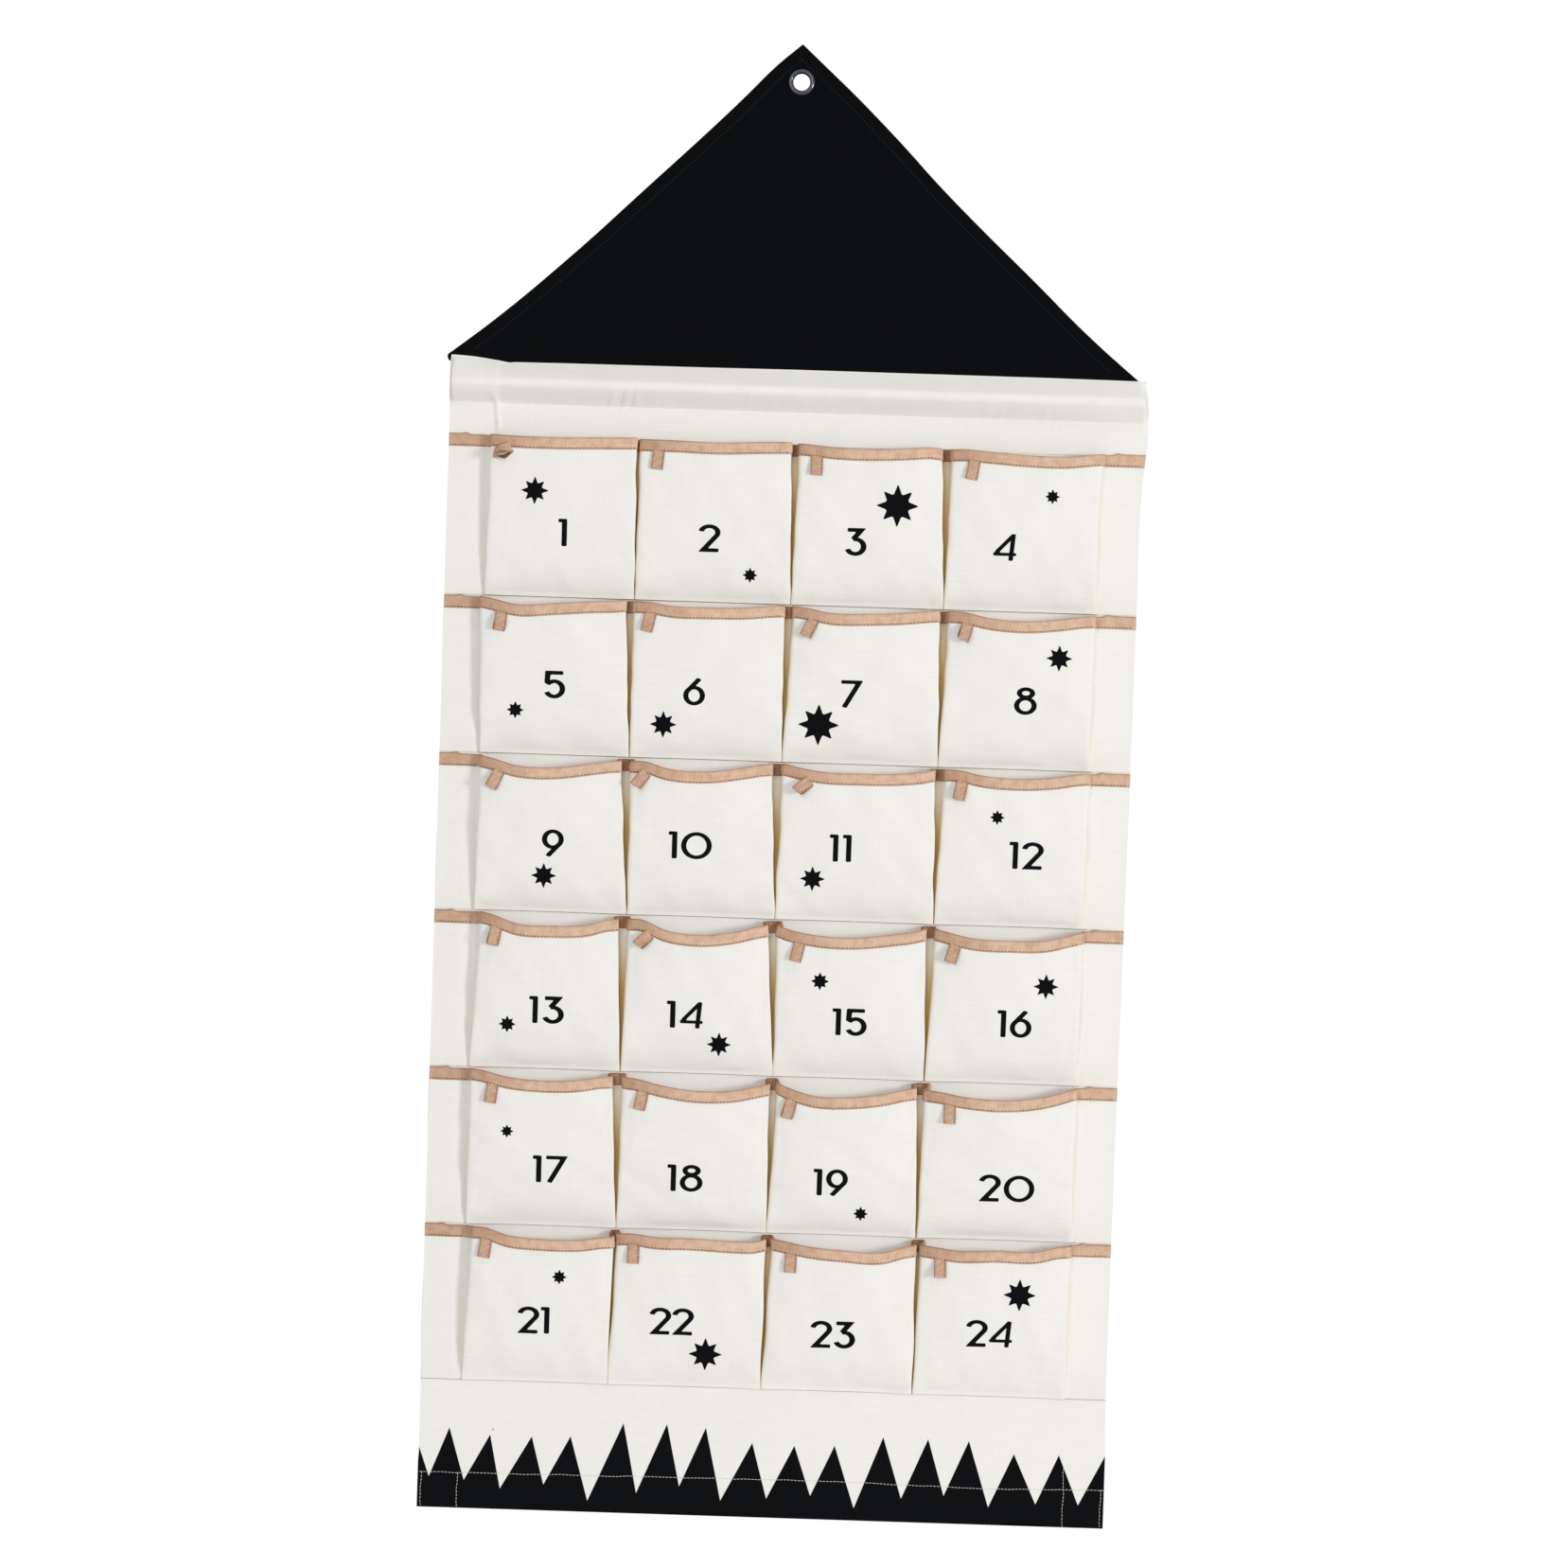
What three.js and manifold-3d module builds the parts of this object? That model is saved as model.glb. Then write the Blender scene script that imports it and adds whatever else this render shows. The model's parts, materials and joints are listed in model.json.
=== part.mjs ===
// Pocket advent calendar: a canvas wall hanging with twenty-four pleated pockets, sewn to a
// back panel in six rows, under a black gable with an eyelet to hang it by.
// Millimetres, +Z up, +X to the right as seen from the front. The wall is the plane Y = 0
// and the viewer is on the -Y side. The origin is the eyelet's centre, on the wall's plane.

import * as THREE from 'three';
import * as BufferGeometryUtils from 'three/addons/utils/BufferGeometryUtils.js';
import Module from 'manifold-3d';

const wasm = await Module();
wasm.setup();

// Cloth, tape and clearance
const CLOTH = 0.9;            // thickness of the canvas
const TAPE = 0.5;             // thickness of the folded cotton tape's one leaf
const TAPE_WIDTH = 10.3;      // height of the binding, and width of the hanging loops
const GAP = 0.3;              // what lies loosely on its neighbour stays this far off it
const CUT_OVERRUN = 2;        // cutting tools run past what they cut by this

// Back panel
const PANEL_WIDTH = 600;
const PANEL_HEIGHT = 994;
const PANEL_SHIFT = 4.4;      // the panel's middle hangs this far right of the eyelet
const BOTTOM_HEM = 33;        // cloth turned up behind the panel's foot

// Gable
const GABLE_HEIGHT = 280;     // from the seam over the rod sleeve to the tip
const EYELET_DROP = 32.6;     // eyelet's centre under the tip
const GABLE_HEM = 11.5;       // cloth turned in behind the slanting edges
const LEFT_BOW = 2.6;         // how far the hanging cloth's left edge curves inwards
const RIGHT_BOW = 5;

// Eyelet
const EYELET_BORE = 14.3;     // diameter of the hole that the nail goes through
const EYELET_OUTSIDE = 23;
const EYELET_DOME = 1.8;      // how far the front ring stands off the cloth
const BARREL_WALL = 0.4;
const WASHER_THICKNESS = 0.6;
const WASHER_MARGIN = 0.2;    // the washer is smaller than the front ring by this, all round
const ROLL_WIDTH = 1.8;       // how far the barrel's end is rolled out over the washer
const FIT = 0.3;              // radial clearance of the cloth and the washer on the barrel

// The ring's domed section: shares of the way across to the crown, and of the dome's height.
const CROWN_SHARE = 0.45;
const OUTER_SLOPE_SHARES = [[0.12, 0.40], [0.50, 0.82]];
const INNER_SLOPE_SHARES = [[0.45, 0.85], [0.10, 0.45]];

// Stiffening rod and its sleeve
const ROD_DIAMETER = 12;
const ROD_END_ROOM = 11;      // from the panel's edge to the end of the rod's travel
const ROD_TRAVEL = 34;        // how far the captive rod can slide
const ROD_DROP = 19;          // the rod's axis under the gable's seam
const SLEEVE_HEIGHT = 34;
const SLEEVE_FLANGE = 4;      // flat sewn edge along the sleeve's head and foot
const SLEEVE_END_SEAM = 3;    // flat sewn edge across the sleeve's ends

// Rows of pockets
const ROWS = 6;
const COLUMNS = 4;
const HEAD_BAND = 65.5;       // panel's head to the first row's binding
const FOOT_BAND = 109;        // last row's lower seam to the panel's foot
const FIRST_ROW_EXTRA = 3.5;  // the first row is taller than the others by this
const ROW_GAP = 3.3;          // a strip's foot ends this far above the next binding
const LEFT_MARGIN = 36;       // panel's edge to the first column's seam
const RIGHT_MARGIN = 36;

// One pocket's pleats and mouth
const SEAM_HALF = 1.7;        // half the flat cloth that is sewn down between two pockets
const LEFT_FOLD = 5.5;        // the front's left fold at the mouth, right of its seam
const RIGHT_FOLD = 3.3;       // the front's right fold at the mouth, left of its seam
const FOOT_FOLD = 2.7;        // both folds' distance from the seam at the foot
const MOUTH_DEPTH = 11;       // the folds stand this far off the seam at the mouth
const MOUTH_BULGE = 5;        // the front's middle stands off further by this
const SEWN_FOOT = 3;          // flat band that is sewn down along the strip's foot
const DEEPEST_SAG = 12;       // how far the slackest mouth droops under its seams

// Shares of DEEPEST_SAG that each pocket's mouth droops, row by row from the top.
const SAG_SHARES = [
  [0.03, 0.03, 0.08, 0.16],
  [0.38, 0.18, 0.28, 0.43],
  [0.66, 0.62, 0.39, 0.39],
  [0.68, 0.98, 0.83, 0.68],
  [0.48, 0.86, 1.00, 0.84],
  [0.54, 0.30, 0.70, 0.45],
];

// Where each mouth is lowest, as shares of the pocket's width from its left fold.
const LOWEST_SHARES = [
  [0.40, 0.40, 0.40, 0.60],
  [0.28, 0.40, 0.32, 0.52],
  [0.50, 0.48, 0.45, 0.50],
  [0.50, 0.48, 0.38, 0.50],
  [0.45, 0.55, 0.35, 0.50],
  [0.60, 0.65, 0.50, 0.30],
];

// The front's shape from its sewn foot up to the binding: height shares and depth shares.
const RISE_SHARES = [0, 0.12, 0.42, 1];
const DEPTH_SHARES = [0, 0.35, 0.76, 1];
const FRONT_SHARES = [0.25, 0.5, 0.75];

// Hanging loops
const LOOP_LENGTH = 15.3;
const LOOP_BULK = 3.5;        // thickness where the folded tape stands open
const LOOP_ROOT_GAP = 0.2;    // the two leaves' distance where they are sewn in

// The loops' middles, as shares of the column's width from the column's left seam.
const LOOP_PLACE_SHARES = [
  [0.145, 0.116, 0.146, 0.172],
  [0.125, 0.096, 0.156, 0.162],
  [0.140, 0.096, 0.166, 0.162],
  [0.155, 0.156, 0.136, 0.152],
  [0.163, 0.146, 0.116, 0.152],
  [0.152, 0.116, 0.146, 0.122],
];

// How far the loops' lower ends lean to the left, as shares of the loop's length.
const LOOP_LEAN_SHARES = [
  [0.20, 0.05, 0.02, 0.16],
  [0.12, 0.22, 0.45, 0.18],
  [0.35, 0.42, 0.45, 0.25],
  [0.18, 0.45, 0.33, 0.28],
  [0.14, 0.20, 0.25, 0.05],
  [0.14, 0.02, 0.05, 0.02],
];

// The loop's side view, as shares of half its bulk and of its length, from the root down.
const LOOP_OUTER_SHARES = [[0.55, 0.30], [1, 0.70], [0.92, 0.86], [0.55, 0.97]];
const EYE_TOP_SHARE = 0.28;
const EYE_WIDEST_SHARE = 0.70;
const EYE_LOWER_SHARE = 0.84;
const EYE_LOWER_WIDTH_SHARE = 0.55;

// Facets
const ROUND_STEPS = 28;
const ARC_STEPS = 4;
const EDGE_STEPS = 6;

// Planes and edges that follow from the sizes above
const FACE_BACK = -CLOTH;
const FACE_FRONT = -2 * CLOTH;
const PANEL_LEFT = PANEL_SHIFT - PANEL_WIDTH / 2;
const PANEL_RIGHT = PANEL_LEFT + PANEL_WIDTH;
const GABLE_TIP = EYELET_DROP;
const PANEL_HEAD = GABLE_TIP - GABLE_HEIGHT;
const PANEL_FOOT = PANEL_HEAD - PANEL_HEIGHT;
const COLUMN_PITCH = (PANEL_WIDTH - LEFT_MARGIN - RIGHT_MARGIN) / COLUMNS;
const ROW_PITCH = (PANEL_HEIGHT - HEAD_BAND - FOOT_BAND - FIRST_ROW_EXTRA) / ROWS;
const BINDING_HALF = CLOTH / 2 + GAP + TAPE;
const SLOT_HALF = CLOTH / 2 + GAP;
const MOUTH_SEAM_Y = FACE_FRONT - BINDING_HALF;
const FOOT_SEAM_Y = FACE_FRONT - CLOTH / 2;
const BORE_RADIUS = EYELET_BORE / 2;
const BARREL_RADIUS = BORE_RADIUS + BARREL_WALL;
const RING_RADIUS = EYELET_OUTSIDE / 2;
const WASHER_BACK = FACE_BACK + WASHER_THICKNESS;

// Materials
function matt(color, roughness) {
  return new THREE.MeshStandardMaterial({ color, roughness, metalness: 0, flatShading: true });
}

const canvas = matt(0xEEEBE3, 0.9);
const blackCanvas = matt(0x141517, 0.9);
const cottonTape = matt(0xD3A988, 0.85);
const birch = matt(0xD8B98C, 0.6);
const nickel = new THREE.MeshStandardMaterial({
  color: 0x5C5E62, roughness: 0.3, metalness: 1, flatShading: true,
});

const calendar = new THREE.Group();

function addMesh(name, geometry, material) {
  const mesh = new THREE.Mesh(geometry, material);
  mesh.name = name;
  calendar.add(mesh);
  return mesh;
}

// Closed mesh from points and triangles. A negative volume means that the faces point in,
// so each triangle is then turned round.
function closedGeometry(points, triangles) {
  let volume = 0;
  for (const [a, b, c] of triangles) {
    const [p, q, r] = [points[a], points[b], points[c]];
    volume += p[0] * (q[1] * r[2] - q[2] * r[1]);
    volume += p[1] * (q[2] * r[0] - q[0] * r[2]);
    volume += p[2] * (q[0] * r[1] - q[1] * r[0]);
  }
  const outward = volume < 0 ? triangles.map(([a, b, c]) => [a, c, b]) : triangles;
  const geometry = new THREE.BufferGeometry();
  geometry.setAttribute('position', new THREE.Float32BufferAttribute(points.flat(), 3));
  geometry.setIndex(outward.flat());
  return geometry;
}

// Sheet with a thickness: two grids of points with the same rows, joined along their rims.
function sheetGeometry(frontGrid, backGrid) {
  const rows = frontGrid.length;
  const columns = frontGrid[0].length;
  const points = [...frontGrid.flat(), ...backGrid.flat()];
  const back = rows * columns;
  const at = (row, column) => row * columns + column;
  const triangles = [];
  for (let row = 0; row < rows - 1; row++) {
    for (let column = 0; column < columns - 1; column++) {
      const a = at(row, column);
      const b = at(row, column + 1);
      const c = at(row + 1, column + 1);
      const d = at(row + 1, column);
      triangles.push([a, b, c], [a, c, d]);
      triangles.push([back + a, back + c, back + b], [back + a, back + d, back + c]);
    }
  }
  const rim = [];
  for (let column = 0; column < columns - 1; column++) rim.push(at(0, column));
  for (let row = 0; row < rows - 1; row++) rim.push(at(row, columns - 1));
  for (let column = columns - 1; column > 0; column--) rim.push(at(rows - 1, column));
  for (let row = rows - 1; row > 0; row--) rim.push(at(row, 0));
  rim.forEach((a, k) => {
    const b = rim[(k + 1) % rim.length];
    triangles.push([b, a, back + a], [b, back + a, back + b]);
  });
  return closedGeometry(points, triangles);
}

// Bar through closed sections that all have the outline's count of points. The outline is
// the section laid flat, and only serves to fill the two ends.
function sweptGeometry(sections, outline) {
  const count = outline.length;
  const points = sections.flat();
  const triangles = [];
  for (let k = 0; k < sections.length - 1; k++) {
    for (let i = 0; i < count; i++) {
      const j = (i + 1) % count;
      const a = k * count + i;
      const b = k * count + j;
      triangles.push([a, b, b + count], [a, b + count, a + count]);
    }
  }
  const last = (sections.length - 1) * count;
  const flat = outline.map(([x, y]) => new THREE.Vector2(x, y));
  for (const [a, b, c] of THREE.ShapeUtils.triangulateShape(flat, [])) {
    triangles.push([a, c, b], [last + a, last + b, last + c]);
  }
  return closedGeometry(points, triangles);
}

// Solid for a join or a cut, from a closed geometry.
function solid(geometry) {
  const bare = geometry.index ? geometry.toNonIndexed() : geometry.clone();
  bare.deleteAttribute('normal');
  bare.deleteAttribute('uv');
  const merged = BufferGeometryUtils.mergeVertices(bare);
  return new wasm.Manifold(new wasm.Mesh({
    numProp: 3,
    vertProperties: new Float32Array(merged.attributes.position.array),
    triVerts: new Uint32Array(merged.index.array),
  }));
}

function solidGeometry(body) {
  const mesh = body.getMesh();
  const geometry = new THREE.BufferGeometry();
  geometry.setAttribute('position', new THREE.BufferAttribute(mesh.vertProperties, 3));
  geometry.setIndex(new THREE.BufferAttribute(mesh.triVerts, 1));
  return geometry;
}

// Flat piece of cloth with its outline in X and Z, between two planes of Y.
function clothPlate(outline, frontY, backY) {
  const shape = new THREE.Shape(outline.map(([x, z]) => new THREE.Vector2(x, z)));
  const geometry = new THREE.ExtrudeGeometry(shape, { depth: backY - frontY, bevelEnabled: false });
  geometry.rotateX(Math.PI / 2);
  geometry.translate(0, backY, 0);
  return geometry;
}

function rectangle(left, right, foot, head) {
  return [[left, foot], [right, foot], [right, head], [left, head]];
}

function blend(from, to, share) {
  return from + (to - from) * share;
}

// Path moved sideways by a distance, with mitred corners. A path that runs along +X, or
// down in Y and Z, moves towards the viewer.
function offsetPath(path, distance) {
  const direction = (from, to) => {
    const [dx, dy] = [to[0] - from[0], to[1] - from[1]];
    const length = Math.hypot(dx, dy);
    return [dx / length, dy / length];
  };
  return path.map((point, k) => {
    const before = direction(path[Math.max(k - 1, 0)], path[Math.max(k, 1)]);
    const after = direction(path[Math.min(k, path.length - 2)], path[Math.min(k + 1, path.length - 1)]);
    const across = [before[1] + after[1], -before[0] - after[0]];
    const scale = distance / (1 + before[0] * after[0] + before[1] * after[1]);
    return [point[0] + across[0] * scale, point[1] + across[1] * scale];
  });
}

// Back panel: one sheet of canvas, with its foot turned up behind it as a hem.
function panelGeometry() {
  const sheet = clothPlate(rectangle(PANEL_LEFT, PANEL_RIGHT, PANEL_FOOT, PANEL_HEAD), FACE_FRONT, FACE_BACK);
  const hemHead = PANEL_FOOT + BOTTOM_HEM;
  const hem = clothPlate(rectangle(PANEL_LEFT, PANEL_RIGHT, PANEL_FOOT, hemHead), FACE_BACK, 0);
  return solidGeometry(solid(sheet).add(solid(hem)));
}

// Gable: a black canvas triangle whose slanting edges curve in a little as it hangs, with
// its hem turned to the back and a hole for the eyelet near the tip.
function inwardNormal(from, to) {
  const [dx, dz] = [to[0] - from[0], to[1] - from[1]];
  const length = Math.hypot(dx, dz);
  return [dz / length, -dx / length];
}

function bowedEdge(from, to, bow) {
  const [nx, nz] = inwardNormal(from, to);
  const points = [];
  for (let k = 0; k <= EDGE_STEPS; k++) {
    const share = k / EDGE_STEPS;
    const dip = 4 * share * (1 - share) * bow;
    points.push([blend(from[0], to[0], share) + nx * dip, blend(from[1], to[1], share) + nz * dip]);
  }
  return points;
}

function gableGeometry() {
  const leftCorner = [PANEL_LEFT, PANEL_HEAD + GAP];
  const rightCorner = [PANEL_RIGHT, PANEL_HEAD + GAP];
  const tip = [0, GABLE_TIP];
  const left = bowedEdge(leftCorner, tip, LEFT_BOW);
  const right = bowedEdge(tip, rightCorner, RIGHT_BOW);
  const outline = [...left, ...right.slice(1)];
  const face = solid(clothPlate(outline, FACE_FRONT, FACE_BACK));
  const backing = solid(clothPlate(outline, FACE_BACK, 0));

  // The backing stays only as a hem: what lies inside both edges by the hem is cut away.
  const movedIn = ([nx, nz]) => {
    const moved = outline.map(([x, z]) => [x + nx * GABLE_HEM, z + nz * GABLE_HEM]);
    return solid(clothPlate(moved, FACE_BACK, CUT_OVERRUN));
  };
  const inside = movedIn(inwardNormal(leftCorner, tip)).intersect(movedIn(inwardNormal(tip, rightCorner)));
  const round = (radius, frontY, backY) => {
    const plug = new THREE.CylinderGeometry(radius, radius, backY - frontY, ROUND_STEPS);
    return solid(plug.translate(0, (frontY + backY) / 2, 0));
  };
  const hole = round(BARREL_RADIUS + FIT, FACE_FRONT - CUT_OVERRUN, CUT_OVERRUN);
  const washerRoom = round(RING_RADIUS + FIT, FACE_BACK, CUT_OVERRUN);
  const hem = backing.subtract(inside).subtract(washerRoom);
  return solidGeometry(face.add(hem).subtract(hole));
}

// Eyelet: a domed ring whose barrel goes through the cloth and is rolled out over a washer.
function eyeletGeometry() {
  const crown = FACE_FRONT - EYELET_DOME;
  const crownRadius = blend(BARREL_RADIUS, RING_RADIUS, CROWN_SHARE);
  const slope = (edge, shares) => shares.map(
    ([across, up]) => [blend(edge, crownRadius, across), blend(FACE_FRONT, crown, up)],
  );
  const profile = [
    [RING_RADIUS, FACE_FRONT],
    ...slope(RING_RADIUS, OUTER_SLOPE_SHARES),
    [crownRadius, crown],
    ...slope(BORE_RADIUS, INNER_SLOPE_SHARES),
    [BORE_RADIUS, FACE_FRONT],
    [BORE_RADIUS, WASHER_BACK],
    [BARREL_RADIUS, 0],
    [BARREL_RADIUS + ROLL_WIDTH, 0],
    [BARREL_RADIUS + ROLL_WIDTH, WASHER_BACK],
    [BARREL_RADIUS, WASHER_BACK],
    [BARREL_RADIUS, FACE_FRONT],
  ];
  return latheGeometry(profile);
}

function washerGeometry() {
  const inside = BARREL_RADIUS + FIT;
  const outside = RING_RADIUS - WASHER_MARGIN;
  return latheGeometry([
    [outside, FACE_BACK],
    [inside, FACE_BACK],
    [inside, WASHER_BACK],
    [outside, WASHER_BACK],
  ]);
}

// Ring about the Y axis, from a closed profile of radius and Y.
function latheGeometry(profile) {
  const points = [];
  const triangles = [];
  const count = profile.length;
  for (let k = 0; k < ROUND_STEPS; k++) {
    const angle = 2 * Math.PI * k / ROUND_STEPS;
    for (const [radius, y] of profile) {
      points.push([radius * Math.cos(angle), y, radius * Math.sin(angle)]);
    }
    const next = (k + 1) % ROUND_STEPS;
    for (let i = 0; i < count; i++) {
      const j = (i + 1) % count;
      triangles.push([k * count + i, k * count + j, next * count + j]);
      triangles.push([k * count + i, next * count + j, next * count + i]);
    }
  }
  return closedGeometry(points, triangles);
}

// Rod: a wooden dowel in the sleeve at the panel's head. It lies at the right-hand end.
const ROD_RADIUS = ROD_DIAMETER / 2;
const ROD_LENGTH = PANEL_WIDTH - 2 * ROD_END_ROOM - ROD_TRAVEL;
const ROD_Y = FACE_FRONT - GAP - ROD_RADIUS;
const ROD_Z = PANEL_HEAD - ROD_DROP;

function rodMesh() {
  const dowel = new THREE.CylinderGeometry(ROD_RADIUS, ROD_RADIUS, ROD_LENGTH, ROUND_STEPS);
  const rod = addMesh('rod', dowel, birch);
  rod.rotation.z = Math.PI / 2;
  rod.position.set(PANEL_RIGHT - ROD_END_ROOM - ROD_LENGTH / 2, ROD_Y, ROD_Z);
}

// Sleeve: the panel's head folded over the rod and sewn down above and below it. The
// profile runs down in Y and Z, straight from the flanges onto an arc round the rod.
function sleeveProfile() {
  const upper = PANEL_HEAD - SLEEVE_FLANGE;
  const lower = PANEL_HEAD - SLEEVE_HEIGHT + SLEEVE_FLANGE;
  const away = FACE_FRONT - ROD_Y;
  const clear = ROD_RADIUS + GAP;
  const tangent = (rise) => Math.PI - Math.atan2(rise, away) - Math.acos(clear / Math.hypot(rise, away));
  const first = tangent(upper - ROD_Z);
  const last = -tangent(ROD_Z - lower);
  const radius = clear / Math.cos((first - last) / ARC_STEPS / 2);
  const profile = [[FACE_FRONT, PANEL_HEAD], [FACE_FRONT, upper]];
  for (let k = 0; k <= ARC_STEPS; k++) {
    const angle = blend(first, last, k / ARC_STEPS);
    profile.push([ROD_Y - radius * Math.cos(angle), ROD_Z + radius * Math.sin(angle)]);
  }
  profile.push([FACE_FRONT, lower], [FACE_FRONT, PANEL_HEAD - SLEEVE_HEIGHT]);
  return profile;
}

function sleeveGeometry() {
  const inside = sleeveProfile();
  const outside = offsetPath(inside, CLOTH);
  const roomEnd = ROD_END_ROOM - GAP;
  const stations = [
    [PANEL_LEFT, 0],
    [PANEL_LEFT + SLEEVE_END_SEAM, 0],
    [PANEL_LEFT + roomEnd, 1],
    [PANEL_RIGHT - roomEnd, 1],
    [PANEL_RIGHT - SLEEVE_END_SEAM, 0],
    [PANEL_RIGHT, 0],
  ];
  const grid = (profile, flatY) => stations.map(
    ([x, swell]) => profile.map(([y, z]) => [x, blend(flatY, y, swell), z]),
  );
  return sheetGeometry(grid(outside, FACE_FRONT - CLOTH), grid(inside, FACE_FRONT));
}

// Height of a row's binding where it is sewn down. Row 6 would be the next one below the
// last, so its height is where the last row's strip ends.
function rowTop(row) {
  const extra = row > 0 ? FIRST_ROW_EXTRA : 0;
  return PANEL_HEAD - HEAD_BAND - extra - row * ROW_PITCH;
}

function columnLeft(column) {
  return PANEL_LEFT + LEFT_MARGIN + column * COLUMN_PITCH;
}

// How far a mouth droops at a share of its width: half a sine wave whose crest is moved to
// where this mouth is lowest.
function mouthSag(row, column, share) {
  const power = Math.log(0.5) / Math.log(LOWEST_SHARES[row][column]);
  const wave = Math.max(Math.sin(Math.PI * share ** power), 0);
  return DEEPEST_SAG * SAG_SHARES[row][column] * wave;
}

// Places along a row where its strip of canvas bends: each has X at the mouth and at the
// foot, how far it stands off the seams, and how far the mouth droops there.
function rowPlaces(row) {
  const flat = (x) => ({ mouthX: x, footX: x, stand: 0, sag: 0 });
  const places = [flat(PANEL_LEFT)];
  for (let column = 0; column < COLUMNS; column++) {
    const left = columnLeft(column);
    const right = left + COLUMN_PITCH;
    places.push(flat(left + SEAM_HALF));
    for (const share of [0, ...FRONT_SHARES, 1]) {
      places.push({
        mouthX: blend(left + LEFT_FOLD, right - RIGHT_FOLD, share),
        footX: blend(left + FOOT_FOLD, right - FOOT_FOLD, share),
        stand: MOUTH_DEPTH + 4 * share * (1 - share) * MOUTH_BULGE,
        sag: mouthSag(row, column, share),
      });
    }
    places.push(flat(right - SEAM_HALF));
  }
  places.push(flat(PANEL_RIGHT));
  return places;
}

// Path of the strip in plan at one height: rise 0 is the foot, and 1 the mouth.
function planPath(places, rise, depth) {
  return places.map(({ mouthX, footX, stand }) => [
    blend(footX, mouthX, depth),
    blend(FOOT_SEAM_Y, MOUTH_SEAM_Y, rise) - stand * depth,
  ]);
}

// Pocket strip: one length of canvas along the whole row, sewn down at the margins, between
// the pockets and along its foot, and pleated beside each seam so that the mouths stand open.
function stripGeometry(row) {
  const places = rowPlaces(row);
  const foot = rowTop(row + 1) + ROW_GAP;
  const lip = places.map(({ sag }) => rowTop(row) - sag - TAPE_WIDTH - GAP);
  const levels = [{ rise: 0, depth: 0, heights: places.map(() => foot) }];
  RISE_SHARES.forEach((rise, k) => {
    const heights = lip.map((z) => blend(foot + SEWN_FOOT, z, rise));
    levels.push({ rise, depth: DEPTH_SHARES[k], heights });
  });
  levels.push({ rise: 1, depth: 1, heights: places.map(({ sag }) => rowTop(row) - sag - TAPE - GAP) });
  const grid = (distance) => levels.map(({ rise, depth, heights }) => {
    const path = offsetPath(planPath(places, rise, depth), distance);
    return path.map(([x, y], k) => [x, y, heights[k]]);
  });
  return sheetGeometry(grid(CLOTH / 2), grid(-CLOTH / 2));
}

// Binding: a cotton tape folded lengthways over the strip's upper edge, from one side of
// the panel to the other, so it follows every pleat and drooping mouth.
function bindingGeometry(row) {
  const places = rowPlaces(row);
  const path = planPath(places, 1, 1);
  const section = [
    [-BINDING_HALF, TAPE_WIDTH],
    [-BINDING_HALF, 0],
    [BINDING_HALF, 0],
    [BINDING_HALF, TAPE_WIDTH],
    [SLOT_HALF, TAPE_WIDTH],
    [SLOT_HALF, TAPE],
    [-SLOT_HALF, TAPE],
    [-SLOT_HALF, TAPE_WIDTH],
  ];
  const rails = section.map(([distance]) => offsetPath(path, distance));
  const sections = places.map(({ sag }, k) => section.map(
    ([, drop], i) => [rails[i][k][0], rails[i][k][1], rowTop(row) - sag - drop],
  ));
  return sweptGeometry(sections, section);
}

// Hanging loop: a short tape folded double under the binding, standing a little open. It
// turns at its root, in the middle of its thickness.
function valuesOver(path, values, from, to) {
  const at = (x) => {
    const k = path.findIndex(([px]) => px > x);
    const share = (x - path[k - 1][0]) / (path[k][0] - path[k - 1][0]);
    return blend(values[k - 1], values[k], share);
  };
  const between = values.filter((value, k) => path[k][0] > from && path[k][0] < to);
  return [at(from), ...between, at(to)];
}

function loopRoot(row, column) {
  const places = rowPlaces(row).filter(({ stand }) => stand > 0);
  const perPocket = places.length / COLUMNS;
  const own = places.slice(column * perPocket, (column + 1) * perPocket);
  const path = offsetPath(planPath(own, 1, 1), CLOTH / 2);
  const x = columnLeft(column) + LOOP_PLACE_SHARES[row][column] * COLUMN_PITCH;
  const [from, to] = [x - TAPE_WIDTH / 2, x + TAPE_WIDTH / 2];
  const clothY = Math.min(...valuesOver(path, path.map(([, y]) => y), from, to));
  const sag = Math.max(...valuesOver(path, own.map((place) => place.sag), from, to));
  return [x, clothY - GAP - LOOP_BULK / 2, rowTop(row) - sag - TAPE_WIDTH - GAP];
}

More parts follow.
